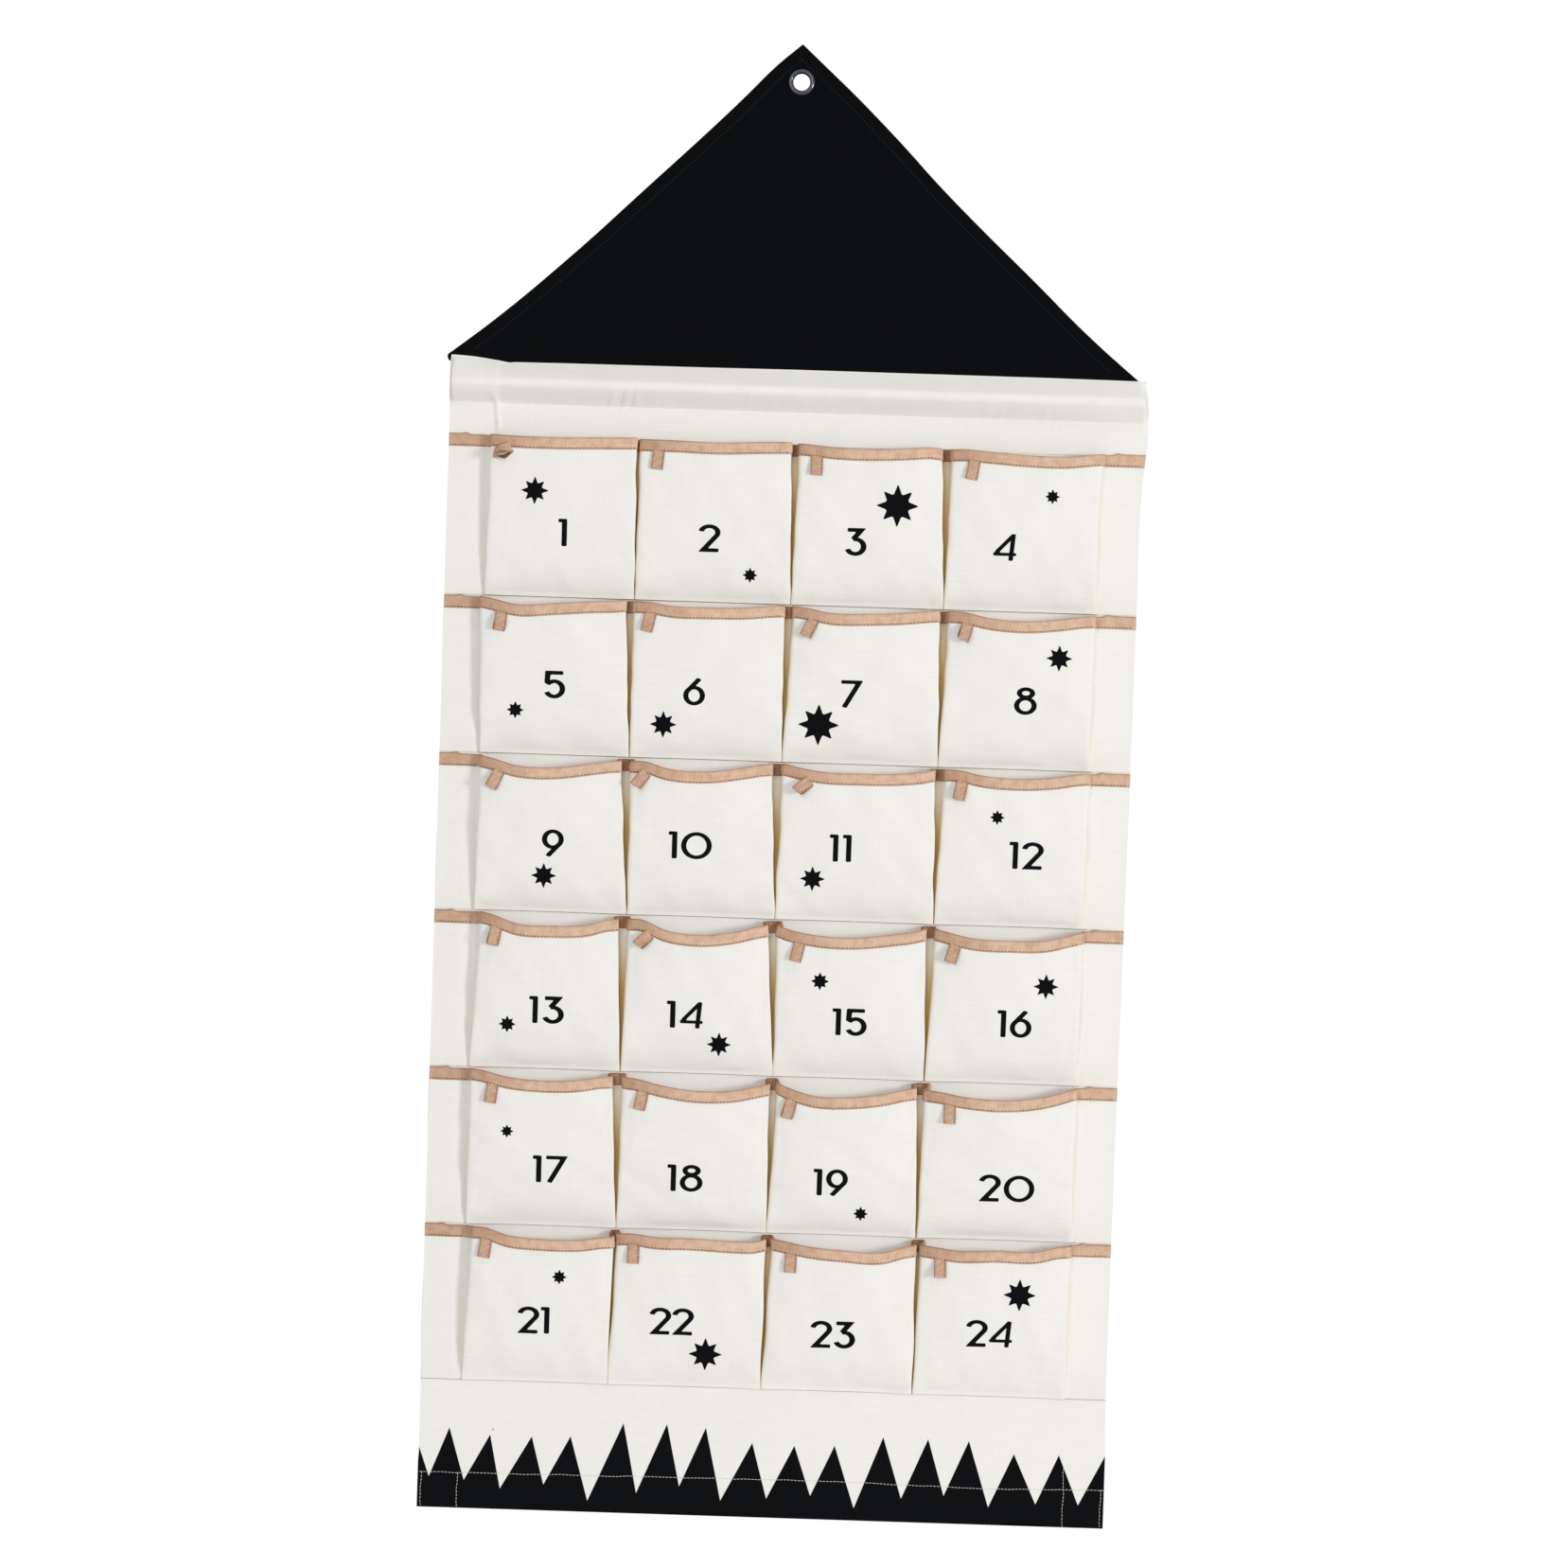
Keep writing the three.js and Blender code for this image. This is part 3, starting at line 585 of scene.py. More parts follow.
def stitch_points(path: Array, out: Array, stitch: Stitch) -> Array:
    """Vertices of a run of stitches along a path, given the directions off the cloth.

    Returns:
        Twelve vertices for each stitch, as three squares along it: a small one sunk into
        the cloth, a full one in the middle and a small one again.
    """
    distance = lengths(path)
    middles = np.arange(stitch.pitch / 2, distance[-1], stitch.pitch)

    def on_path(values: Array, at: Array) -> Array:
        return np.stack([np.interp(at, distance, values[:, k]) for k in range(3)], axis=1)

    half = stitch.length / 2
    centre, off = on_path(path, middles), unit(on_path(out, middles))
    along = unit(on_path(path, middles + half) - on_path(path, middles - half))
    across = unit(np.cross(along, off))
    rings = []
    for share, swell, lift in ((-1, 0.35, -0.5), (0, 1, 0.35), (1, 0.35, -0.5)):
        core = centre + along * (share * half) + off * (lift * stitch.radius)
        for side, up in ((-1, -1), (1, -1), (1, 1), (-1, 1)):
            rings.append(core + (across * side + off * up) * (swell * stitch.radius))
    return np.stack(rings, axis=1)


def facing_front(count: int) -> Array:
    """The direction towards the viewer, once for each of some points."""
    return np.tile([0.0, -1.0, 0.0], (count, 1))


def add_stitches(name: str, runs: list[Array]) -> Piece:
    """Makes one object of runs of stitches, each a closed piece of ten faces."""
    rings = np.concatenate(runs)
    ring = np.arange(4)
    after = np.roll(ring, -1)
    tube = [np.stack([ring + s, after + s, after + s + 4, ring + s + 4], axis=1) for s in (0, 4)]
    one = np.concatenate([*tube, [[3, 2, 1, 0], [8, 9, 10, 11]]])
    faces = (one[None] + 12 * np.arange(len(rings))[:, None, None]).reshape(-1, 4)
    return add_mesh(name, rings.reshape(-1, 3), faces, sharp_deg=80.0)


# Finishes


def add_node(tree: Tree, kind: str, inputs: dict | None = None, **settings) -> bpy.types.Node:
    """Adds a node with its settings, and fills or links its inputs.

    Args:
        tree: The material's node tree.
        kind: The node's type.
        inputs: Value or output socket for each named or numbered input. A colour mix has its
            share at 0, its colours at 6 and 7, and its result at 2.
        **settings: The node's properties.

    Returns:
        The node.
    """
    node = tree.nodes.new(kind)
    for key, value in settings.items():
        setattr(node, key, value)
    for key, value in (inputs or {}).items():
        if isinstance(value, Socket):
            tree.links.new(value, node.inputs[key])
        else:
            node.inputs[key].default_value = value
    return node


def new_material(name: str) -> tuple[bpy.types.Material, Tree, bpy.types.Node]:
    """A material with an empty node tree and its output.

    Args:
        name: The material's name.

    Returns:
        The material, its tree and its output node.
    """
    material = bpy.data.materials.new(name)
    material.use_nodes = True
    tree = material.node_tree
    tree.nodes.clear()
    return material, tree, add_node(tree, "ShaderNodeOutputMaterial")


@dataclass(frozen=True)
class WovenCotton:
    """Cotton cloth: matt, with a plain weave, slubby threads and a few bits of husk.

    The weave's real threads are about half a millimetre apart, too fine for a picture of
    the whole hanging, so thread_mm is drawn nearly twice as coarse.
    """

    name: str
    colour: str
    slub_colour: str
    thread_mm: float = 0.9
    weave_depth_mm: float = 0.035
    slub_share: float = 0.5
    mottle_mm: float = 0.0
    speck_colour: str = ""
    speck_share: float = 0.0
    # Colour of the painted shade deep in pleats, mixed in by the pleat attribute.
    pleat_colour: str = ""
    roughness: float = 0.92
    shine: float = 0.25

    # A wave texture of scale 1 repeats after this length.
    WAVE_PERIOD = 0.31416
    # Noise scales across and along for the thick threads of the warp and of the weft.
    SLUBS = ((34.0, 900.0, 1.0), (520.0, 12.0, 1.0))

    def make(self) -> bpy.types.Material:
        """Builds the material.

        Returns:
            A matt principled surface with the weave as its height. Slubs, worn patches,
            painted pleat shade where the pleat attribute asks for it, and specks are mixed into its colour in
            turn.
        """
        material, tree, output = new_material(self.name)
        cloth = add_node(tree, "ShaderNodeUVMap", uv_map="cloth").outputs["UV"]
        tint = self.slubbed(tree, cloth)
        if self.mottle_mm:
            tint = self.mottled(tree, cloth, tint)
        # Painted pleat shade, by the pleat attribute.
        if self.pleat_colour:
            deep = add_node(tree, "ShaderNodeAttribute", attribute_name="pleat").outputs["Fac"]
            tint = add_node(tree, "ShaderNodeMix", {
                0: deep, 6: tint, 7: linear(self.pleat_colour),
            }, data_type="RGBA").outputs[2]
        if self.speck_colour:
            tint = self.specked(tree, cloth, tint)
        relief = add_node(tree, "ShaderNodeBump", {
            "Height": self.weave(tree, cloth), "Distance": self.weave_depth_mm * MM, "Strength": 1.0,
        })
        surface = add_node(tree, "ShaderNodeBsdfPrincipled", {
            "Base Color": tint, "Roughness": self.roughness, "Specular IOR Level": self.shine,
            "Normal": relief.outputs["Normal"],
        })
        tree.links.new(surface.outputs["BSDF"], output.inputs["Surface"])
        return material

    def weave(self, tree: Tree, cloth: Socket) -> Socket:
        """Height of the weave: the larger of two rows of sine bands, for warp and weft."""
        threads = 1000 / self.thread_mm
        bands = [
            add_node(tree, "ShaderNodeTexWave", {
                "Vector": cloth, "Scale": threads * self.WAVE_PERIOD / 2, "Distortion": 1.6,
                "Detail": 1.0, "Detail Scale": 0.6,
            }, wave_type="BANDS", bands_direction=direction, wave_profile="SIN").outputs["Fac"]
            for direction in ("X", "Y")
        ]
        return add_node(tree, "ShaderNodeMath", {0: bands[0], 1: bands[1]}, operation="MAXIMUM").outputs[0]

    def slubbed(self, tree: Tree, cloth: Socket) -> Socket:
        """The cloth's colour, with thin streaks of another colour along warp and weft."""
        streaks = []
        for stretch in self.SLUBS:
            drawn = add_node(tree, "ShaderNodeMapping", {"Vector": cloth, "Scale": stretch})
            streaks.append(add_node(tree, "ShaderNodeTexNoise", {
                "Vector": drawn.outputs["Vector"], "Scale": 1.0, "Detail": 2.0, "Roughness": 0.6,
            }).outputs["Fac"])
        slub = add_node(tree, "ShaderNodeMix", {0: 0.3, 2: streaks[0], 3: streaks[1]}, data_type="FLOAT")
        share = add_node(tree, "ShaderNodeMapRange", {
            "Value": slub.outputs[0], "From Min": 0.36, "From Max": 0.64,
            "To Min": 0.0, "To Max": self.slub_share,
        })
        return add_node(tree, "ShaderNodeMix", {
            0: share.outputs["Result"], 6: linear(self.colour),
            7: linear(self.slub_colour),
        }, data_type="RGBA").outputs[2]

    def mottled(self, tree: Tree, cloth: Socket,
                tint: Socket) -> Socket:
        """A tint with patches of the slubs' colour, mottle_mm across."""
        patch = add_node(tree, "ShaderNodeTexNoise", {
            "Vector": cloth, "Scale": 500 / self.mottle_mm, "Detail": 3.0, "Roughness": 0.65,
        })
        wear_and_shade = add_node(tree, "ShaderNodeMapRange", {
            "Value": patch.outputs["Fac"], "From Min": 0.42, "From Max": 0.68, "To Max": 0.7,
        })
        return add_node(tree, "ShaderNodeMix", {
            0: wear_and_shade.outputs["Result"], 6: tint, 7: linear(self.slub_colour),
        }, data_type="RGBA").outputs[2]

    def specked(self, tree: Tree, cloth: Socket,
                tint: Socket) -> Socket:
        """A tint with specks at the middles of some cells, of sizes drawn by the cell."""
        cell = add_node(tree, "ShaderNodeTexVoronoi", {
            "Vector": cloth, "Scale": 22.0, "Randomness": 1.0,
        }, feature="F1")
        size = add_node(tree, "ShaderNodeSeparateColor", {"Color": cell.outputs["Color"]})
        limit = add_node(tree, "ShaderNodeMapRange", {
            "Value": size.outputs["Red"], "From Min": 0.55, "From Max": 1.0,
            "To Min": 0.0, "To Max": 0.022,
        })
        close = add_node(tree, "ShaderNodeMath", {
            0: cell.outputs["Distance"], 1: limit.outputs["Result"],
        }, operation="LESS_THAN")
        strength = add_node(tree, "ShaderNodeMath", {
            0: close.outputs[0], 1: self.speck_share,
        }, operation="MULTIPLY")
        return add_node(tree, "ShaderNodeMix", {
            0: strength.outputs[0], 6: tint, 7: linear(self.speck_colour),
        }, data_type="RGBA").outputs[2]


@dataclass(frozen=True)
class PlatedNickel:
    """Black nickel plate on pressed brass: dark, polished, with faint rubbing marks."""

    name: str = "black_nickel_plate"
    colour: str = "#4A4B4F"
    roughness: float = 0.14

    def make(self) -> bpy.types.Material:
        """Builds the material: a metal whose roughness varies a little with noise."""
        material, tree, output = new_material(self.name)
        place = add_node(tree, "ShaderNodeTexCoord").outputs["Object"]
        rub = add_node(tree, "ShaderNodeTexNoise", {"Vector": place, "Scale": 900.0, "Detail": 3.0})
        rough = add_node(tree, "ShaderNodeMapRange", {
            "Value": rub.outputs["Fac"], "To Min": self.roughness * 0.7, "To Max": self.roughness * 1.6,
        })
        surface = add_node(tree, "ShaderNodeBsdfPrincipled", {
            "Base Color": linear(self.colour), "Metallic": 1.0, "Roughness": rough.outputs["Result"],
        })
        tree.links.new(surface.outputs["BSDF"], output.inputs["Surface"])
        return material


@dataclass(frozen=True)
class BareBirch:
    """Birch dowel, turned and sanded: pale, matt, with fine grain along its length."""

    name: str = "bare_birch"
    colour: str = "#DCC09A"
    grain_colour: str = "#C09A6A"
    grain_mm: float = 1.4

    def make(self) -> bpy.types.Material:
        """Builds the material: noise drawn out along X mixes two colours of wood."""
        material, tree, output = new_material(self.name)
        place = add_node(tree, "ShaderNodeTexCoord").outputs["Object"]
        across = 1000 / self.grain_mm
        drawn = add_node(tree, "ShaderNodeMapping", {"Vector": place, "Scale": (across / 40, across, across)})
        grain = add_node(tree, "ShaderNodeTexNoise", {
            "Vector": drawn.outputs["Vector"], "Scale": 1.0, "Detail": 4.0,
        })
        tint = add_node(tree, "ShaderNodeMix", {
            0: grain.outputs["Fac"], 6: linear(self.colour),
            7: linear(self.grain_colour),
        }, data_type="RGBA")
        relief = add_node(tree, "ShaderNodeBump", {"Height": grain.outputs["Fac"], "Distance": 0.05 * MM})
        surface = add_node(tree, "ShaderNodeBsdfPrincipled", {
            "Base Color": tint.outputs[2], "Roughness": 0.6, "Normal": relief.outputs["Normal"],
        })
        tree.links.new(surface.outputs["BSDF"], output.inputs["Surface"])
        return material


@dataclass(frozen=True)
class SpunThread:
    """Spun sewing thread: matt cotton, one colour with a slight unevenness."""

    name: str
    colour: str

    def make(self) -> bpy.types.Material:
        """Builds the material: noise makes parts of the thread a little darker."""
        material, tree, output = new_material(self.name)
        place = add_node(tree, "ShaderNodeTexCoord").outputs["Object"]
        wear_and_shade = add_node(tree, "ShaderNodeTexNoise", {"Vector": place, "Scale": 700.0, "Detail": 2.0})
        darker = tuple(0.72 * c for c in linear(self.colour)[:3]) + (1.0,)
        tint = add_node(tree, "ShaderNodeMix", {
            0: wear_and_shade.outputs["Fac"], 6: linear(self.colour), 7: darker,
        }, data_type="RGBA")
        surface = add_node(tree, "ShaderNodeBsdfPrincipled", {
            "Base Color": tint.outputs[2], "Roughness": 0.85, "Specular IOR Level": 0.2,
        })
        tree.links.new(surface.outputs["BSDF"], output.inputs["Surface"])
        return material


class Finishes:
    """All materials of the hanging, built once."""

    def __init__(self) -> None:
        """Builds each finish."""
        # Unbleached canvas: warm white, faint slubs, husk specks, and an ochre painted shade deep in its
        # pleats.
        self.canvas = WovenCotton(
            "natural_cotton_canvas", "#F3F2EE", "#E7E3DB", pleat_colour="#D8B977",
            weave_depth_mm=0.025, slub_share=0.32, speck_colour="#A8936C", speck_share=0.8,
        ).make()
        # Canvas dyed black: without shine, with a few grey specks of lint.
        self.black = WovenCotton(
            "black_dyed_canvas", "#090A0B", "#101113", slub_share=0.3,
            speck_colour="#3A3A3A", speck_share=0.4, roughness=0.9, shine=0.04,
        ).make()
        # Pigment print: black ink that soaks in, so the weave shows through it.
        self.ink = WovenCotton(
            "black_pigment_print", "#0B0C0E", "#131417", slub_share=0.3, roughness=0.85, shine=0.05,
        ).make()
        # Bias tape: camel, mottled where it is rubbed, with a dark brown painted shade in its pleats, at
        # mouths' left ends, on its margins and along its edges.
        self.tape = WovenCotton(
            "camel_cotton_tape", "#E6C6AE", "#C89E7E", pleat_colour="#946444",
            weave_depth_mm=0.04, slub_share=0.4, mottle_mm=4.0,
        ).make()
        self.white_thread = SpunThread("white_cotton_thread", "#E4E2DC").make()
        # Camel thread, drawn darker than the tape, so that its stitches also stand in for the shade in their
        # holes.
        self.camel_thread = SpunThread("camel_cotton_thread", "#85583A").make()
        # Thread drawn dark, for a seam along each strip's foot that also stands in for the thin shadow line
        # under the strip's lower edge.
        self.foot_thread = SpunThread("foot_shadow_line_thread", "#AFA088").make()
        self.grey_thread = SpunThread("grey_cotton_thread", "#2E2F31").make()
        self.nickel = PlatedNickel().make()
        self.birch = BareBirch().make()


def dress(piece: Piece, finish: bpy.types.Material, slot: Slot, body: str) -> Piece:
    """Gives a piece its finish and seats it on its body.

    Args:
        piece: The object.
        finish: Its material.
        slot: The record's material slot; not used.
        body: The body that it rides on.

    Returns:
        The piece.
    """
    piece.data.materials.clear()
    piece.data.materials.append(finish)
    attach(piece, body)
    LOG.info("%s: %d faces", piece.name, len(piece.data.polygons))
    return piece


# Pocket rows


NO_POCKET = -5.0


class Track(IntEnum):
    """Columns of a row's path.

    They are X at the foot and at the mouth, the stand-off off the panel at both, the share
    along its pocket's mouth, the pocket's column and how much painted shade the cloth gets for lying deep in
    a pleat.
    """

    FOOT_X = 0
    MOUTH_X = 1
    FOOT_STAND = 2
    MOUTH_STAND = 3
    SHARE = 4
    POCKET = 5
    PLEAT = 6


def droop_curve(pocket: Pocket, share: Array) -> Array:
    """How far a mouth droops under its seams.

    Args:
        pocket: The pocket.
        share: Places along the mouth, 0 at its left fold and 1 at its right.

    Returns:
        Millimetres at each place: cubic pieces through the pocket's own values, each
        with the slope of its neighbours' chord.
    """
    knots, values = np.array(DROOP_SHARES), np.array(pocket.droop)
    slopes = np.gradient(values, knots)
    k = np.clip(np.searchsorted(knots, share, side="right") - 1, 0, len(knots) - 2)
    width = knots[k + 1] - knots[k]
    t = (share - knots[k]) / width
    start = values[k] * (1 + 2 * t) * (1 - t) ** 2 + slopes[k] * width * t * (1 - t) ** 2
    end = values[k + 1] * t**2 * (3 - 2 * t) - slopes[k + 1] * width * t**2 * (1 - t)
    return start + end


@dataclass
class RowCloth:
    """The surface of one row's strip of canvas, midway through its thickness.

    The strip's bends in plan are a path of control points at the foot and one at the
    mouth. Both paths' corners are cut alike, so every point of the path has a place at
    the foot and one at the mouth, and the cloth between them is drawn from these.

    The fullness is the share of the height over which a front leaves the panel.
    """

    row: int
    rounds: int = 2
    fullness: float = 0.28
    # Painted pleat shade of the first pocket's left wall and of the last seam.
    outer_pleat: float = 0.12
    margin_droop: float = -1.2
    front_shares: tuple[float, ...] = (0.1, 0.25, 0.4, 0.6, 0.75, 0.9)
    levels: int = 40
    pockets: tuple[Pocket, ...] = field(init=False)
    foot: float = field(init=False)
    top: float = field(init=False)
    path: Array = field(init=False)
    droop: Array = field(init=False)

    def __post_init__(self) -> None:
        """Lays out the control points, cuts their corners and lets the mouths droop."""
        self.pockets = POCKETS[self.row * COLUMNS:(self.row + 1) * COLUMNS]
        self.foot = SIZES.row_top(self.row + 1) + SIZES.row_gap
        self.top = SIZES.row_top(self.row)
        self.path = rounded(np.array(self.controls()), self.rounds)
        self.droop = np.full(len(self.path), self.margin_droop)
        for column, pocket in enumerate(self.pockets):
            own = self.in_pocket(column)
            stand = np.clip(self.path[own, Track.MOUTH_STAND] / SIZES.mouth_depth, 0, 1)
            drooped = droop_curve(pocket, np.clip(self.path[own, Track.SHARE], 0, 1))
            self.droop[own] = drooped * stand + self.margin_droop * (1 - stand)

    @property
    def sewn_z(self) -> float:
        """Height of the line along which the strip is sewn down."""
        return self.foot + SIZES.sewn_foot

    @property
    def mouth_z(self) -> Array:
        """Height of the strip's upper edge inside its tape, at each of the path's points."""
        return self.top - self.droop - SIZES.tape - SIZES.gap

    def in_pocket(self, column: int) -> Array:
        """Which of the path's points belong to a column's pocket."""
        return np.abs(self.path[:, Track.POCKET] - column) < 0.5

    def on_fronts(self, clear: float = 0.02) -> Array:
        """Which of the path's points lie on fronts, a share of the mouth clear of a fold."""
        share = self.path[:, Track.SHARE]
        return (share > clear) & (share < 1 - clear)

    @staticmethod
    def flat(x: float, foot: float = 0.0, mouth: float = 0.0, pleat: float = 0.0,
             shift: float = 0.0) -> tuple[float, ...]:
        """Control point beside the pockets, whose place at the foot may be shifted."""
        return (x + shift, x, foot, mouth, 0.0, NO_POCKET, pleat)

    def controls(self) -> list[tuple[float, ...]]:
        """Control points from the left margin to the right one.

        Returns:
            For each, what the Track names. Four points hold the strip down at every seam,
            with a pocket's own points after them.
        """
        left, right, half = SIZES.panel_left, SIZES.panel_right, SIZES.seam_half
        first, last = SIZES.seam(0), SIZES.seam(COLUMNS)
        shifts = (*FOOT_SHIFTS[self.row], 0.0)
        points = [
            self.flat(left), self.flat(left + 4), self.flat(left + 12, 0.1, 0.5),
            self.flat(first - 13, 0.3, 1.2), self.flat(first - 6, 0.5, 1.0),
        ]
        for column in range(COLUMNS):
            seam, deep = SIZES.seam(column), self.depth_at(column)
            points += [
                self.flat(seam + share * half, pleat=deep, shift=shifts[column])
                for share in (-1, -0.5, 0.5, 1)
            ]
            points += self.pocket_controls(column, shifts[column:column + 2])
        points += [
            self.flat(last + half, pleat=self.outer_pleat), self.flat(last + 2.6),
            self.flat(last + 6, 0.3, 0.8), self.flat(last + 13, 0.2, 0.9),
            self.flat(right - 12, 0.1, 0.3), self.flat(right - 4), self.flat(right),
        ]
        return points

    def depth_at(self, column: int) -> float:
        """How much painted pleat shade a column's left wall gets: hardly any in the first."""
        return self.outer_pleat if column == 0 else 1.0

    def pocket_controls(self, column: int, shifts: tuple[float, ...]) -> list[tuple[float, ...]]:
        """Control points of one pocket, from its left seam to its right one.

        Args:
            column: The pocket's column.
            shifts: How far to the right of their seams its two edges meet the foot.

        Returns:
            Control points. The left wall leans outwards from its seam and goes round into
            the front, which stands out most in its middle. The right wall goes back under
            its fold, but for the last pocket's, which leans outwards.
        """
        pocket, depth, deep = self.pockets[column], SIZES.mouth_depth, self.depth_at(column)
        seam, after = SIZES.seam(column), SIZES.seam(column + 1)
        start, end = seam + shifts[0], after + shifts[1]
        left, right = seam + pocket.left, after - pocket.right
        span = right - left
        low = seam + SIZES.seam_half + 0.35 * pocket.left
        # The last value of each control point is its painted pleat shade: full in the walls between pockets,
        # light in the outer walls, slight at the fronts' edges.
        points = [
            (start + 6.5, low, 0.9, 0.42 * depth, 0.0, column, deep),
            (start + 1.2, left - 0.8, 1.7, depth - 3.4, 0.0, column, 0.8 * deep),
            (start + 0.3, left, 2.2, depth - 1.3, 0.0, column, 0.6 * deep),
            (start + 1.8, left + 2.2, 2.3, depth - 0.25, 2.2 / span, column, 0.06),
            (start + 5.0, left + 7.0, 2.2, depth + 0.2, 7.0 / span, column, 0.0),
        ]
        for share in self.front_shares:
            arch = 4 * share * (1 - share)
            points.append((
                start + 0.3 + (end - start - 0.6) * share, left + span * share,
                2.2 - 1.7 * arch, depth + 0.2 + pocket.bulge * arch, share, column, 0.0,
            ))
        points += [
            (end - 5.0, right - 6.0, 2.3, depth + 0.4, 1 - 6.0 / span, column, 0.0),
            (end - 1.8, right - 2.0, 2.3, depth + 0.15, 1 - 2.0 / span, column, 0.0),
            (end - 0.3, right, 2.2, depth - 0.7, 1.0, column, 0.1),
        ]
        if column + 1 < COLUMNS:
            return points + [
                (end - 1.4, right - 1.2, 1.6, depth - 2.4, 1.0, column, 1.0),
                (end - 6.5, right - 3.0, 0.9, 0.4 * depth, 1.0, column, 1.0),
                (end - 3.4, right - 2.2, 0.3, 0.5, 1.0, column, 1.0),
            ]
        return points + [
            (after + 0.2, right + 0.9, 1.6, depth - 2.6, 1.0, column, 0.2),
            (after + 0.6, after + 0.6, 0.9, 0.4 * depth, 1.0, column, 0.2),
            (after + 0.8, after + 1.3, 0.3, 0.5, 1.0, column, 0.2),
        ]

    def surface(self, rise: Array) -> Array:
        """Points of the surface.

        Args:
            rise: Shares of the way up from the sewn foot, one for each row of points, or
                a grid with one for each point.

        Returns:
            Grid of (x, y, z). X goes evenly from its foot place to its mouth place. The
            stand-off goes as 1 - exp(-rise / fullness), so the front leaves the foot
            steeply and then stands nearly upright, and slow ripples are added to it
            where it is loose. Each pocket's folds sway a little to the sides.
        """
        rise = np.asarray(rise, float)
        if rise.ndim == 1:
            rise = rise[:, None]
        up = np.maximum(rise, 0)
        full = (1 - np.exp(-up / self.fullness)) / (1 - math.exp(-1 / self.fullness))
        path = self.path
        x = path[:, Track.FOOT_X] + (path[:, Track.MOUTH_X] - path[:, Track.FOOT_X]) * up
        stand = path[:, Track.FOOT_STAND] * (1 - full) + path[:, Track.MOUTH_STAND] * full
        z = self.sewn_z + (self.mouth_z - self.sewn_z) * rise
        seam_y = SIZES.front - SIZES.cloth / 2 - (SIZES.binding_half - SIZES.cloth / 2) * up
        loose = smoothstep(stand, 0.3, 3.0)
        waves = 0.55 * ripple(x, z, 10 + self.row, 95.0) + 0.16 * ripple(x, z, 40 + self.row, 30.0)
        x = x + 0.35 * loose * ripple(0 * x + 37 * path[:, Track.POCKET], z, 70 + self.row, 80.0)
        y = seam_y - stand - waves * loose
        return np.stack(np.broadcast_arrays(x + edge_drift(x, z), y, z), axis=-1)

    def tape_foot(self, x: float) -> float:
        """Height of the binding's lower edge at a place across on a front."""
        front = self.on_fronts()
        droop = float(np.interp(x, self.path[front, Track.MOUTH_X], self.droop[front]))
        return self.top - droop - SIZES.tape_width

    @staticmethod
    def outward(points: Array) -> Array:
        """Direction off the cloth's outer side, square to the path in plan."""
        along = np.gradient(points, axis=1)
        return unit(np.stack([along[..., 1], -along[..., 0], np.zeros(along.shape[:2])], axis=-1))

    def cloth_uv(self, points: Array) -> Array:
        """Cloth coordinates: the length along the path, other for each row, and the height."""
        across = np.broadcast_to(lengths(points[-1]), points.shape[:2])
        return np.stack([across + 57 * self.row, points[..., 2]], axis=-1)

    def front_y(self, x: Array, z: Array) -> Array:
        """Y of the outer side of the pockets' fronts.

        Args:
            x: Places across, on fronts.
            z: Places up.

        Returns:
            Y at each place. On each of many levels X gives Y and Z by interpolation, and
            the place's own Z then lies between two of these.
        """
        points = self.surface(np.linspace(0, 1, self.levels))
        outside = points + self.outward(points) * (SIZES.cloth / 2)
        across = outside[:, self.on_fronts()]
        ys = np.stack([np.interp(x, level[:, 0], level[:, 1]) for level in across])
        zs = np.stack([np.interp(x, level[:, 0], level[:, 2]) for level in across])
        below = np.clip((zs < z).sum(axis=0) - 1, 0, self.levels - 2)
        pick = np.arange(len(x))
        low, high = zs[below, pick], zs[below + 1, pick]
        share = (z - low) / (high - low)
        return ys[below, pick] * (1 - share) + ys[below + 1, pick] * share


